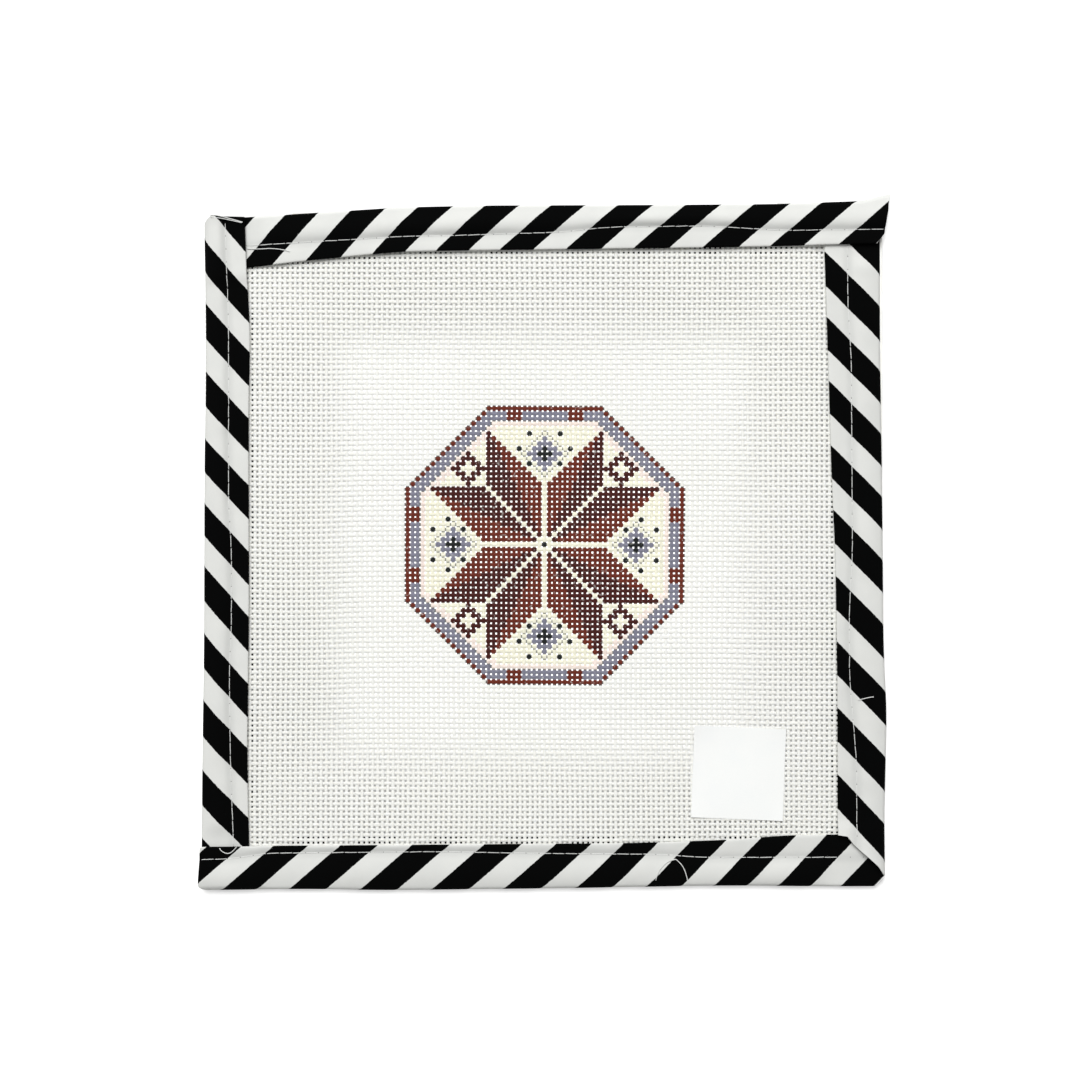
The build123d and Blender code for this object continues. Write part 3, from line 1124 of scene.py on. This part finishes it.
@dataclass
class TapeStrip:
    """One side's tape: folded round the raw edge, lapped over the strip before it and sewn down."""

    side: Side
    corners: list[tuple[float, float]]
    courses: StripCourses
    lapped_front: float
    covering_front: float
    cloth: Cloth
    canvas: CanvasSizes
    puffing: Puffing = Puffing()
    stripe_reference: float = 5.0 * MM
    map_unit: float = 10.0 * MM
    away_from_seam: float = 9.0
    smooth_under: float = 50.0
    seed: int = 0
    headings: list[Vector] = field(init=False)
    lengths: list[float] = field(init=False)

    def __post_init__(self) -> None:
        """Work out the strip's straight runs."""
        points = [Vector(corner) for corner in self.corners]
        runs = [after - before for before, after in zip(points, points[1:])]
        self.headings = [run.normalized() for run in runs]
        self.lengths = [run.length for run in runs]

    @property
    def length(self) -> float:
        """The strip's length along its outer edge, from corner to corner."""
        return sum(self.lengths)

    @property
    def lap_end(self) -> float:
        """Where the strip has passed the one it laps over."""
        return max(self.lapped_front, self.cloth.back_width) + self.cloth.lap_allowance

    @property
    def covered_from(self) -> float:
        """Where the next strip starts to cover this one."""
        return self.length - max(self.covering_front, self.cloth.back_width) - self.cloth.clearance

    def across_at(self, number: int) -> Vector:
        """The direction in from the edge at one of the strip's corners."""
        before = self.headings[max(number - 1, 0)]
        after = self.headings[min(number, len(self.headings) - 1)]
        heading = (before + after).normalized()
        return Vector((-heading.y, heading.x))

    def place(self, along: np.ndarray, across: np.ndarray) -> np.ndarray:
        """Find points on the strip.

        Args:
            along: Distances along the outer edge.
            across: Distances in from it.

        Returns:
            Two numbers for each point.
        """
        along, across = np.broadcast_arrays(np.asarray(along, float), np.asarray(across, float))
        found = np.zeros((*along.shape, 2))
        passed = 0.0
        for number, length in enumerate(self.lengths):
            share = (along - passed) / length
            start, stop = (
                np.array(self.corners[end]) + across[..., None] * np.array(self.across_at(end))
                for end in (number, number + 1)
            )
            here = start + (stop - start) * share[..., None]
            found = here if number == 0 else np.where((along >= passed)[..., None], here, found)
            passed += length
        return found

    def opening(self, along: np.ndarray) -> np.ndarray:
        """Half the gap between the two legs' inner faces."""
        flat = self.cloth.flat_opening(self.canvas)
        lapped = self.cloth.lapped_opening(self.canvas)
        share = smooth_step((self.lap_end + self.cloth.ramp_length - along) / self.cloth.ramp_length)
        return flat + (lapped - flat) * share

    def puff(self, along: np.ndarray, across: np.ndarray) -> np.ndarray:
        """How far the front leg stands up on both sides of its seam.

        Args:
            along: Distances along the strip.
            across: Distances in from its nominal edge.

        Returns:
            The height over the pressed-flat cloth.
        """
        puffing, courses = self.puffing, self.courses
        edge, seam, front = (course.at(along) for course in (courses.edge, courses.seam, courses.front))
        crest = np.clip((across - edge) / (seam - edge), 0.0, 1.0) ** courses.crest_skew
        outside = np.sin(math.pi * crest)
        inside = np.sin(math.pi / 2 * np.clip((across - seam) / (front - seam), 0.0, 1.0))
        swells = Ripple(puffing.swell_seed + self.seed, *puffing.swell_lengths)
        swell = 1.0 + puffing.swell * swells.at(along)
        height = swell * (puffing.outside * outside + puffing.inside * inside)
        from_seam = np.abs(across - seam)
        creases = Ripple(puffing.crease_seed + self.seed, *puffing.crease_lengths, puffing.crease_waves)
        folds = creases.at(along - puffing.crease_lean * across, puffing.crease_stretch * across)
        wrinkled = 1.0 - np.exp(-((from_seam / puffing.crease_start) ** 2))
        wrinkled *= np.exp(-from_seam / puffing.crease_reach)
        height += puffing.crease * 0.5 * (1.0 + np.clip(folds, -1.0, 1.0)) * wrinkled * (outside + inside)
        gathers = 0.5 - 0.5 * np.cos(math.tau * along / Stitching().length)
        gathered = 1.0 - np.exp(-from_seam / puffing.gather_start)
        gathered *= np.exp(-from_seam / puffing.gather_reach)
        height += puffing.gather * gathers * gathered
        free = smooth_step((self.covered_from - along) / puffing.covered_reach)
        from_end = np.maximum(along - courses.start.at(across), 0.0)
        lift = puffing.end_lift * np.exp(-from_end / puffing.end_reach)
        return np.maximum(height, 0.0) * free + lift

    def surface(self, along: np.ndarray, across: np.ndarray) -> np.ndarray:
        """The height of the front leg's face at places on the strip."""
        radius = self.opening(along) + self.cloth.layered
        short = np.clip(radius - (across - self.courses.edge.at(along)), 0.0, radius)
        crown = np.sqrt(radius**2 - short**2)
        return self.canvas.middle + crown + self.puff(along, across)

    def profile(self, along: np.ndarray) -> tuple[np.ndarray, np.ndarray]:
        """The folded cloth's middle line, from its front hem round the canvas to its back hem.

        Args:
            along: The distance along the strip of each of the line's points, by station and point.

        Returns:
            For each point the distance in from the nominal edge and the height over the canvas's middle.
        """
        cloth = self.cloth
        inner = self.opening(along) + cloth.thickness / 2
        turn = (cloth.thickness + cloth.fold_gap) / 2
        outer = inner + 2 * turn
        edge = self.courses.edge.at(along)
        fold = turn + cloth.thickness / 2
        front = self.courses.front.at(along) - edge - fold
        back = cloth.back_width - edge - fold
        wrap = outer + cloth.thickness / 2
        hem = cloth.hem_end_from_edge
        bend = np.linspace(-math.pi / 2, math.pi / 2, cloth.turn_steps + 1)
        round_edge = np.linspace(0.0, math.pi, cloth.wrap_steps + 1)
        toward_fold = np.linspace(0.0, 1.0, cloth.hem_steps, endpoint=False)
        toward_edge = np.linspace(0.0, 1.0, cloth.leg_steps)[1:-1]
        away = np.linspace(0.0, 1.0, cloth.hem_steps)[1:-1]
        home = np.linspace(0.0, 1.0, cloth.hem_steps)[1:]
        zero = np.zeros_like(inner)
        rules = [
            (toward_fold, lambda t, i: (hem + (front[:, i] - hem) * t, inner[:, i])),
            (bend, lambda t, i: (front[:, i] + turn * np.cos(t), inner[:, i] + turn + turn * np.sin(t))),
            (toward_edge, lambda t, i: (front[:, i] + (wrap[:, i] - front[:, i]) * t, outer[:, i])),
            (round_edge, lambda t, i: (wrap[:, i] - outer[:, i] * np.sin(t), outer[:, i] * np.cos(t))),
            (away, lambda t, i: (wrap[:, i] + (back[:, i] - wrap[:, i]) * t, -outer[:, i])),
            (bend, lambda t, i: (back[:, i] + turn * np.cos(t), -inner[:, i] - turn + turn * np.sin(t))),
            (home, lambda t, i: (back[:, i] + (hem - back[:, i]) * t, -inner[:, i])),
        ]
        across, height = zero.copy(), zero.copy()
        passed = 0
        for steps, rule in rules:
            columns = slice(passed, passed + len(steps))
            across[:, columns], height[:, columns] = rule(steps[None, :], columns)
            passed += len(steps)
        return across + edge, height

    @property
    def profile_points(self) -> int:
        """How many points the folded cloth's middle line has."""
        cloth = self.cloth
        hems = 3 * cloth.hem_steps - 3 + 2 * (cloth.turn_steps + 1)
        return hems + cloth.leg_steps - 2 + cloth.wrap_steps + 1

    def over_cloth(self, across: np.ndarray, height: np.ndarray) -> np.ndarray:
        """The distance over the cloth's face, equal to the distance in from the edge at one reference line.

        Args:
            across: Distances in from the nominal edge, by station and point.
            height: Heights over the canvas's middle.

        Returns:
            The distance of each point, falling from the front hem to the back one.
        """
        cloth = self.cloth
        steps = np.hypot(np.diff(across, axis=1), np.diff(height, axis=1))
        passed = np.concatenate([np.zeros((len(across), 1)), np.cumsum(steps, axis=1)], axis=1)
        first = cloth.hem_steps + cloth.turn_steps + 1
        leg = slice(first, first + cloth.leg_steps - 2)
        at_reference = [
            np.interp(-self.stripe_reference, -row_across, row_passed)
            for row_across, row_passed in zip(across[:, leg], passed[:, leg])
        ]
        return self.stripe_reference - (passed - np.array(at_reference)[:, None])

    def stripe_count(self, along: np.ndarray, over_cloth: np.ndarray) -> np.ndarray:
        """How many stripes lie before each place: a black one starts at each whole number.

        Args:
            along: Distances along the strip.
            over_cloth: Distances over the cloth from the outer edge.

        Returns:
            The count at each place.
        """
        starts = np.array([start for start, _ in self.courses.stripes]) * MM
        counts = np.array([count for _, count in self.courses.stripes])
        spot = along - self.courses.slant.at(along) * over_cloth
        first = (counts[1] - counts[0]) / (starts[1] - starts[0])
        last = (counts[-1] - counts[-2]) / (starts[-1] - starts[-2])
        before = np.minimum(spot - starts[0], 0.0) * first
        after = np.maximum(spot - starts[-1], 0.0) * last
        return np.interp(spot, starts, counts) + before + after

    def folded(self) -> bpy.types.Object:
        """Fold the strip's cloth as one thin surface, with its ends cut to their shapes."""
        cloth = self.cloth
        rows = int(self.length / cloth.station_step) + 1
        share = np.linspace(0.0, 1.0, rows)[:, None]
        along = np.repeat(share * self.length, self.profile_points, axis=1)
        for _ in range(3):
            across, _ = self.profile(along)
            start = self.courses.start.at(across)
            stop = self.length + self.courses.finish.at(across)
            along = start + (stop - start) * share
        across, height = self.profile(along)
        face = self.opening(along) + cloth.layered - cloth.thickness / 2
        height = height + self.puff(along, across) * np.clip(height / face, 0.0, 1.0)
        over_cloth = self.over_cloth(across, height)
        level = (self.canvas.middle + height)[..., None]
        points = np.concatenate([self.place(along, across), level], axis=-1)
        columns = along.shape[1]
        first = np.arange(rows - 1)[:, None] * columns + np.arange(columns - 1)[None, :]
        faces = np.stack([first, first + columns, first + columns + 1, first + 1], axis=-1)
        piece = mesh_object(f"{self.side.value}_tape", points, faces)
        stripes = np.stack([self.stripe_count(along, over_cloth), over_cloth / self.map_unit], axis=-1)
        first_stitch, pitch, _ = self.stitches(True)
        on_front = np.arange(columns)[None, :] < cloth.hem_steps + cloth.turn_steps + cloth.leg_steps
        from_seam = np.where(on_front, (across - self.courses.seam.at(along)) / MM, self.away_from_seam)
        seam = np.stack([(along - first_stitch) / pitch + 0.5, from_seam], axis=-1)
        for name, places in (("stripes", stripes), ("seam", seam)):
            add_map(piece.data, name, places.reshape(-1, 2)[faces.reshape(-1)])
        return piece

    def stitches(self, on_face: bool) -> tuple[float, float, int]:
        """Share the seam out into stitches.

        Args:
            on_face: Whether these are the needle's, which show up to the next strip's front edge.

        Returns:
            Where the first stitch starts, the distance from one to the next, and how many there are.
        """
        first = float(self.courses.start.at(self.courses.seam.at(np.array(0.0)))) + self.courses.seam_inset
        last = self.length - self.covering_front if on_face else self.covered_from
        count = round((last - first) / Stitching().length)
        return first, (last - first) / count, count

    def tape(self) -> bpy.types.Object:
        """Fold the cloth and give it its thickness."""
        piece = self.folded()
        thicken(piece, self.cloth.thickness, self.smooth_under)
        return piece

    def cut_width(self) -> float:
        """The width that the cloth had before it was folded."""
        across, height = self.profile(np.full((1, self.profile_points), self.length / 2))
        over_cloth = self.over_cloth(across, height)
        return float(over_cloth[0, 0] - over_cloth[0, -1])


@dataclass
class Seam:
    """A lockstitch row: the needle's thread on the face or the bobbin's behind."""

    strip: TapeStrip
    on_face: bool
    stitching: Stitching

    def one_stitch(self) -> Piece:
        """Model one stitch along X: a round thread that dives into the cloth at both ends."""
        stitching = self.stitching
        radius = stitching.thread / 2
        bpy.ops.object.select_all(action="DESELECT")
        bpy.ops.mesh.primitive_uv_sphere_add(segments=stitching.sides, ring_count=stitching.rings, radius=0.5)
        piece = bpy.context.active_object
        with whole_mesh():
            bpy.ops.transform.rotate(value=math.pi / 2, orient_axis="Y", center_override=(0.0, 0.0, 0.0))
            bpy.ops.transform.resize(value=(1.0, stitching.thread, stitching.thread))
        for vertex in piece.data.vertices:
            outward = math.hypot(vertex.co.y, vertex.co.z)
            full = outward > stitching.blunt_from * stitching.thread
            fill = radius / outward if full else 1.0
            vertex.co.y *= fill
            vertex.co.z = vertex.co.z * fill - radius * (2 * vertex.co.x) ** stitching.dive
        return piece

    def build(self) -> Piece:
        """Lay copies of the stitch along the seam, each bent to the cloth, as one piece."""
        strip, stitching = self.strip, self.stitching
        template = self.one_stitch()
        shape = np.array([vertex.co for vertex in template.data.vertices])
        faces = [list(polygon.vertices) for polygon in template.data.polygons]
        bpy.data.objects.remove(template)
        first, pitch, count = strip.stitches(self.on_face)
        draw = np.random.default_rng(100 + strip.seed)
        points, corners = [], []
        for number in range(count):
            along = first + number * pitch + (shape[:, 0] + 0.5) * (pitch - stitching.gap)
            lean = draw.uniform(-stitching.lean_in_mm, stitching.lean_in_mm) * MM
            across = strip.courses.seam.at(along) + lean * shape[:, 0] * 2
            if self.on_face:
                height = strip.surface(along, across) + shape[:, 2]
            else:
                height = strip.canvas.middle - strip.opening(along) - strip.cloth.layered - shape[:, 2]
            height = (height + stitching.thread * stitching.proud)[:, None]
            points.append(np.concatenate([strip.place(along, across + shape[:, 1]), height], axis=1))
            corners.extend([index + number * len(shape) for index in face] for face in faces)
        name = f"{strip.side.value}_{'needle' if self.on_face else 'bobbin'}_stitches"
        mesh = bpy.data.meshes.new(name)
        mesh.from_pydata(np.concatenate(points).tolist(), [], corners)
        piece = linked(name, mesh)
        pick(piece)
        with whole_mesh():
            bpy.ops.mesh.normals_make_consistent(inside=False)
        bpy.ops.object.shade_smooth()
        return piece


@dataclass
class LooseThread:
    """A loose end of sewing thread that lies on the tape, along points on one strip."""

    name: str
    strip: TapeStrip
    route: Knots
    node: str
    diameter: float = 0.24 * MM
    float_height: float = 0.06 * MM

    def build(self) -> Piece:
        """Draw the thread as a smooth curve through its route, round in section, and make it a mesh."""
        curve = bpy.data.curves.new(self.name, "CURVE")
        curve.dimensions = "3D"
        spline = curve.splines.new("NURBS")
        spline.points.add(len(self.route) - 1)
        for point, (along, across) in zip(spline.points, self.route):
            spot = (np.array(along * MM), np.array(across * MM))
            x, y = self.strip.place(*spot)
            z = float(self.strip.surface(*spot)) + self.diameter / 2 + self.float_height
            point.co = (float(x), float(y), z, 1.0)
        spline.order_u = 3
        spline.use_endpoint_u = True
        curve.bevel_depth = self.diameter / 2
        curve.bevel_resolution = 2
        curve.resolution_u = 8
        curve.use_fill_caps = True
        piece = linked(self.name, curve)
        pick(piece)
        bpy.ops.object.convert(target="MESH")
        bpy.ops.object.shade_smooth()
        return piece


@dataclass
class PaperLabel:
    """The blank paper label, laid on the canvas."""

    canvas: CanvasSizes
    finish: PaperFinish
    size: float = 25.4 * MM
    turn: float = -2.3
    thickness: float = 0.13 * MM
    corner_lift: float = 0.35 * MM
    curl: int = 3
    cuts: int = 16
    smooth_under: float = 40.0

    def build(self) -> None:
        """Model the label as a thin sheet that follows the canvas, with its corners a little raised."""
        low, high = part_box("paper_label")
        middle = (low + high) / 2
        centre = (middle.x, middle.y, 0.0)
        bpy.ops.object.select_all(action="DESELECT")
        bpy.ops.mesh.primitive_grid_add(
            x_subdivisions=self.cuts, y_subdivisions=self.cuts, size=self.size, location=centre
        )
        piece = bpy.context.active_object
        piece.name = "blank_paper_label"
        with whole_mesh():
            bpy.ops.transform.rotate(value=math.radians(-self.turn), orient_axis="Z", center_override=centre)
        bpy.ops.object.transform_apply(location=True, rotation=True, scale=True)
        canvas = self.canvas
        rest = canvas.middle + (canvas.wave_height + canvas.thread_thickness + self.thickness) / 2
        half = self.size / 2
        for vertex in piece.data.vertices:
            out_x, out_y = abs(vertex.co.x - middle.x) / half, abs(vertex.co.y - middle.y) / half
            drop = float(canvas.drop(np.array(vertex.co.x), np.array(vertex.co.y)))
            vertex.co.z = rest - drop + self.corner_lift * (out_x * out_y) ** self.curl
        thicken(piece, self.thickness, self.smooth_under)
        dress(piece, self.finish.material(), Slot.LABEL, "paper_label")


@dataclass
class Binding:
    """The four strips of tape with their seams and loose threads."""

    cloth: Cloth
    canvas: CanvasSizes
    tape_finish: TapeFinish
    thread_finish: ThreadFinish
    width: float = 190.0 * MM
    height: float = 191.4 * MM
    top_bend_from_left: float = 55.5 * MM
    top_drop_at_bend: float = 1.5 * MM
    top_drop_at_left: float = 4.5 * MM
    bottom_rise_at_right: float = 1.0 * MM
    top_end_overhang: float = 1.0 * MM

    def courses(self) -> dict[Side, StripCourses]:
        """List how each strip's edges, seam and stripes run."""
        overhang = self.top_end_overhang / MM
        square_finish = Course(((0.0, -1.7), (15.0, -1.7)))
        return {
            Side.BOTTOM: StripCourses(
                edge=Course(((0, 0.0), (30, 0.2), (50, -0.3), (100, 0.0), (145, 0.55), (175, 0.1)), ease=8.0),
                front=Course(((0, 12.3), (120, 12.6), (145, 13.3), (163, 14.6), (189, 14.6)), ease=6.0),
                seam=Course((
                    (0, 8.8), (8, 8.8), (17, 10.3), (66, 10.5), (90, 9.9), (128, 9.4), (138, 8.5), (189, 8.3),
                ), ease=4.0),
                slant=Course(((98, 1.17), (134, 0.97)), unit=1.0, ease=8.0),
                stripes=((5.3, 0), (23.7, 1), (83.4, 4), (103.3, 5), (122.5, 6), (141.2, 7), (176.6, 9)),
                start=Course(
                    ((0, 3.0), (0.2, 1.5), (0.6, 0.2), (1.3, -0.7), (2.0, -0.85), (5.6, -0.6), (12.2, -0.3))
                ),
                finish=Course(
                    ((0, -2.8), (1.2, -1.7), (2.4, -0.6), (3.3, 0.25), (4.2, 0.0), (5.5, -1.2), (8.0, -1.7))
                ),
                seam_inset=0.5 * MM,
                crest_skew=0.8,
            ),
            Side.RIGHT: StripCourses(
                edge=Course((
                    (0, -0.4), (20, -0.2), (48, -0.9), (66, 0.0), (110, 0.4), (150, 1.0), (190, 1.1),
                ), ease=6.0),
                front=Course(
                    ((0, 12.9), (54, 13.0), (90, 13.5), (112, 14.5), (150, 15.7), (178, 16.6), (190, 16.8)),
                    ease=6.0,
                ),
                seam=Course(
                    ((0, 7.6), (34, 7.6), (58, 9.6), (76, 9.7), (92, 8.8), (146, 9.1), (162, 10.1)), ease=4.0
                ),
                slant=Course(((10, 1.09), (45, 1.02), (120, 1.0)), unit=1.0, ease=10.0),
                stripes=((7.6, 0), (26.7, 1), (45.2, 2), (81.1, 4), (115.8, 6), (150.0, 8), (168.4, 9)),
                start=Course(((0, 3.2), (1.8, 5.9), (4.0, 7.9), (8.5, 11.8), (10.4, 14.2), (13.0, 14.6))),
                finish=square_finish,
                seam_inset=3.2 * MM,
                crest_skew=1.0,
            ),
            Side.TOP: StripCourses(
                edge=Course(
                    ((0, -1.7), (5, 0.1), (30, 0.7), (60, 0.6), (110, 0.2), (160, 0.7), (189, 1.0)), ease=3.0
                ),
                front=Course(
                    ((0, 12.2), (42, 12.7), (120, 12.8), (138, 13.0), (160, 13.9), (178, 15.1)), ease=6.0
                ),
                seam=Course(
                    ((0, 8.3), (28, 8.2), (50, 6.7), (76, 6.7), (90, 8.0), (120, 8.6), (189, 9.0)), ease=4.0
                ),
                slant=Course(((0, 1.15), (30, 1.19), (100, 1.19), (156, 0.96)), unit=1.0, ease=10.0),
                stripes=(
                    (-11.9, -1), (7.5, 0), (25.2, 1), (44.3, 2), (82.2, 4), (119.1, 6), (156.0, 8),
                    (173.5, 9),
                ),
                start=Course((
                    (-0.6, -0.6 - overhang), (1.1, -overhang), (3.2, -0.8), (5.3, -0.4), (9.5, 0.2),
                    (10.7, 1.2), (12.5, 2.6),
                )),
                finish=square_finish,
                seam_inset=0.3 * MM,
                crest_skew=1.5,
            ),
            Side.LEFT: StripCourses(
                edge=Course((
                    (0, 0.5), (30, 1.0), (50, 0.95), (66, 0.6), (120, 0.45), (150, 0.0), (187, -0.3),
                ), ease=8.0),
                front=Course(
                    ((0, 12.0), (18, 12.6), (32, 13.4), (54, 13.0), (110, 13.1), (150, 12.6), (180, 13.2)),
                    ease=5.0,
                ),
                seam=Course((
                    (0, 6.5), (30, 7.4), (80, 7.4), (92, 8.2), (114, 8.2), (126, 7.6), (150, 7.9), (175, 8.8),
                ), ease=4.0),
                slant=Course(((20, 1.14), (75, 1.02), (120, 1.14), (160, 1.02)), unit=1.0, ease=10.0),
                stripes=(
                    (-15.2, -1), (5.9, 0), (23.0, 1), (60.8, 3), (78.9, 4), (96.2, 5), (133.7, 7), (153.3, 8),
                    (172.2, 9),
                ),
                start=Course(((0, 4.6), (0.5, 3.8), (0.9, 2.0), (1.8, 1.0), (2.9, 0.15), (12.6, 0.5))),
                finish=square_finish,
                seam_inset=1.8 * MM,
                crest_skew=1.3,
            ),
        }

    def strips(self) -> dict[Side, TapeStrip]:
        """Lay out the four strips, counter-clockwise from the bottom one."""
        left, right = -self.width / 2, self.width / 2 - self.top_end_overhang
        top, bottom = self.height / 2, -self.height / 2
        bottom_left = (left, bottom)
        bottom_right = (right, bottom + self.bottom_rise_at_right)
        top_right = (right, top)
        top_bend = (left + self.top_bend_from_left, top - self.top_drop_at_bend)
        top_left = (left, top - self.top_drop_at_left)
        routes = {
            Side.BOTTOM: [bottom_left, bottom_right],
            Side.RIGHT: [bottom_right, top_right],
            Side.TOP: [top_right, top_bend, top_left],
            Side.LEFT: [top_left, bottom_left],
        }
        courses = self.courses()
        sides = list(Side)
        strips = {}
        for number, side in enumerate(sides):
            lapped = courses[sides[number - 1]].front.at(np.array(1.0))
            covering = courses[sides[(number + 1) % len(sides)]].front.at(np.array(0.0))
            strips[side] = TapeStrip(
                side=side, seed=number, corners=routes[side], courses=courses[side],
                lapped_front=float(lapped), covering_front=float(covering),
                cloth=self.cloth, canvas=self.canvas,
            )
        return strips

    def loose_threads(self, strips: dict[Side, TapeStrip]) -> list[LooseThread]:
        """List the loose ends, with their routes as millimetres along and across their strips."""
        hairpin = (
            (1.95, 11.5), (1.0, 8.2), (0.3, 5.4), (0.0, 3.2), (0.25, 2.6), (0.7, 2.9), (0.85, 5.4),
            (1.4, 8.2), (2.1, 11.3),
        )
        back_stitch = ((177.0, 9.7), (174.8, 10.1), (170.2, 10.0), (166.2, 10.8), (165.2, 11.2))
        loop = ((5.2, 12.0), (5.6, 11.2), (6.6, 10.6), (7.8, 10.4), (8.9, 11.1), (9.9, 12.3))
        arch_right = ((131.3, 8.1), (132.8, 6.9), (133.9, 4.75), (134.6, 1.9), (134.8, 0.5))
        arch_left = ((131.3, 8.1), (129.2, 7.7), (127.5, 6.3), (126.1, 4.2), (125.7, 2.5), (125.6, 0.3))
        right_end = ((51.9, 7.4), (52.1, 6.4), (52.6, 4.8), (52.8, 3.1))
        table = [
            ("top_left_thread_hairpin", Side.LEFT, hairpin, "top_left_thread_tail"),
            ("top_back_stitches", Side.TOP, back_stitch, "top_needle_thread"),
            ("bottom_left_small_loop", Side.BOTTOM, loop, "bottom_left_thread_loop"),
            ("bottom_arch_right_end", Side.BOTTOM, arch_right, "bottom_long_thread_tail"),
            ("bottom_arch_left_end", Side.BOTTOM, arch_left, "bottom_short_thread_tail"),
            ("right_loose_end", Side.RIGHT, right_end, "right_thread_tail"),
        ]
        return [LooseThread(name, strips[side], route, node) for name, side, route, node in table]

    def build(self) -> None:
        """Make every strip, seam and loose thread."""
        striped = self.tape_finish.material()
        off_white = self.thread_finish.material()
        strips = self.strips()
        for side, strip in strips.items():
            tape = dress(strip.tape(), striped, Slot.BINDING, f"{side.value}_binding")
            strip.cut_width()
            for on_face, word in ((True, "needle"), (False, "bobbin")):
                stitches = Seam(strip, on_face, Stitching()).build()
                dress(stitches, off_white, Slot.THREAD, f"{side.value}_{word}_thread")
        for thread in self.loose_threads(strips):
            dress(thread.build(), off_white, Slot.THREAD, thread.node)


@dataclass
class Studio:
    """The white table, the sky, the lamp and the camera over it."""

    table_finish: TableFinish
    camera_distance: float = 0.5
    view_width: float = 299.7 * MM
    view_middle: tuple[float, float, float] = (-1.33 * MM, 1.44 * MM, 1.52 * MM)
    sky: float = 0.36
    lamp_power: float = 46.0
    lamp_way: tuple[float, float, float] = (-0.14, 0.60, 0.79)
    lamp_distance: float = 2.0
    lamp_size: float = 1.5
    table_size: float = 4.0

    def build(self) -> None:
        """Set up the table, world, lamp and camera."""
        bpy.ops.object.select_all(action="DESELECT")
        bpy.ops.mesh.primitive_plane_add(size=self.table_size, location=(0.0, 0.0, -TABLE_GAP))
        table = bpy.context.active_object
        table.name = "white_table"
        table.data.materials.append(self.table_finish.material())
        world = bpy.data.worlds.new("soft_sky")
        world.use_nodes = True
        backdrop = world.node_tree.nodes["Background"]
        backdrop.inputs["Color"].default_value = (1.0, 1.0, 1.0, 1.0)
        backdrop.inputs["Strength"].default_value = self.sky
        bpy.context.scene.world = world
        way = Vector(self.lamp_way).normalized()
        turned = way.to_track_quat("Z", "Y").to_euler()
        bpy.ops.object.light_add(type="AREA", location=way * self.lamp_distance, rotation=turned)
        lamp = bpy.context.active_object
        lamp.name = "soft_lamp"
        lamp.data.shape = "DISK"
        lamp.data.size = self.lamp_size
        lamp.data.energy = self.lamp_power
        x, y, z = self.view_middle
        bpy.ops.object.camera_add(location=(x, y, z + self.camera_distance), rotation=(0.0, 0.0, 0.0))
        camera = bpy.context.active_object
        camera.name = "photo_camera"
        camera.data.angle = 2 * math.atan(self.view_width / 2 / self.camera_distance)
        camera.data.clip_start = 0.01
        bpy.context.scene.camera = camera
        bpy.context.scene.view_settings.view_transform = "Standard"


def main() -> None:
    """Build the studio and every part of the bound canvas."""
    logging.basicConfig(level=logging.INFO, format="%(message)s")
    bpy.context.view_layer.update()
    cloth = Cloth()
    canvas = CanvasSizes()
    Studio(TableFinish()).build()
    WovenCanvas(canvas, Medallion(), CanvasFinish()).build()
    Binding(cloth, canvas, TapeFinish(), ThreadFinish()).build()
    PaperLabel(canvas, PaperFinish()).build()


if __name__ == "__main__":
    main()
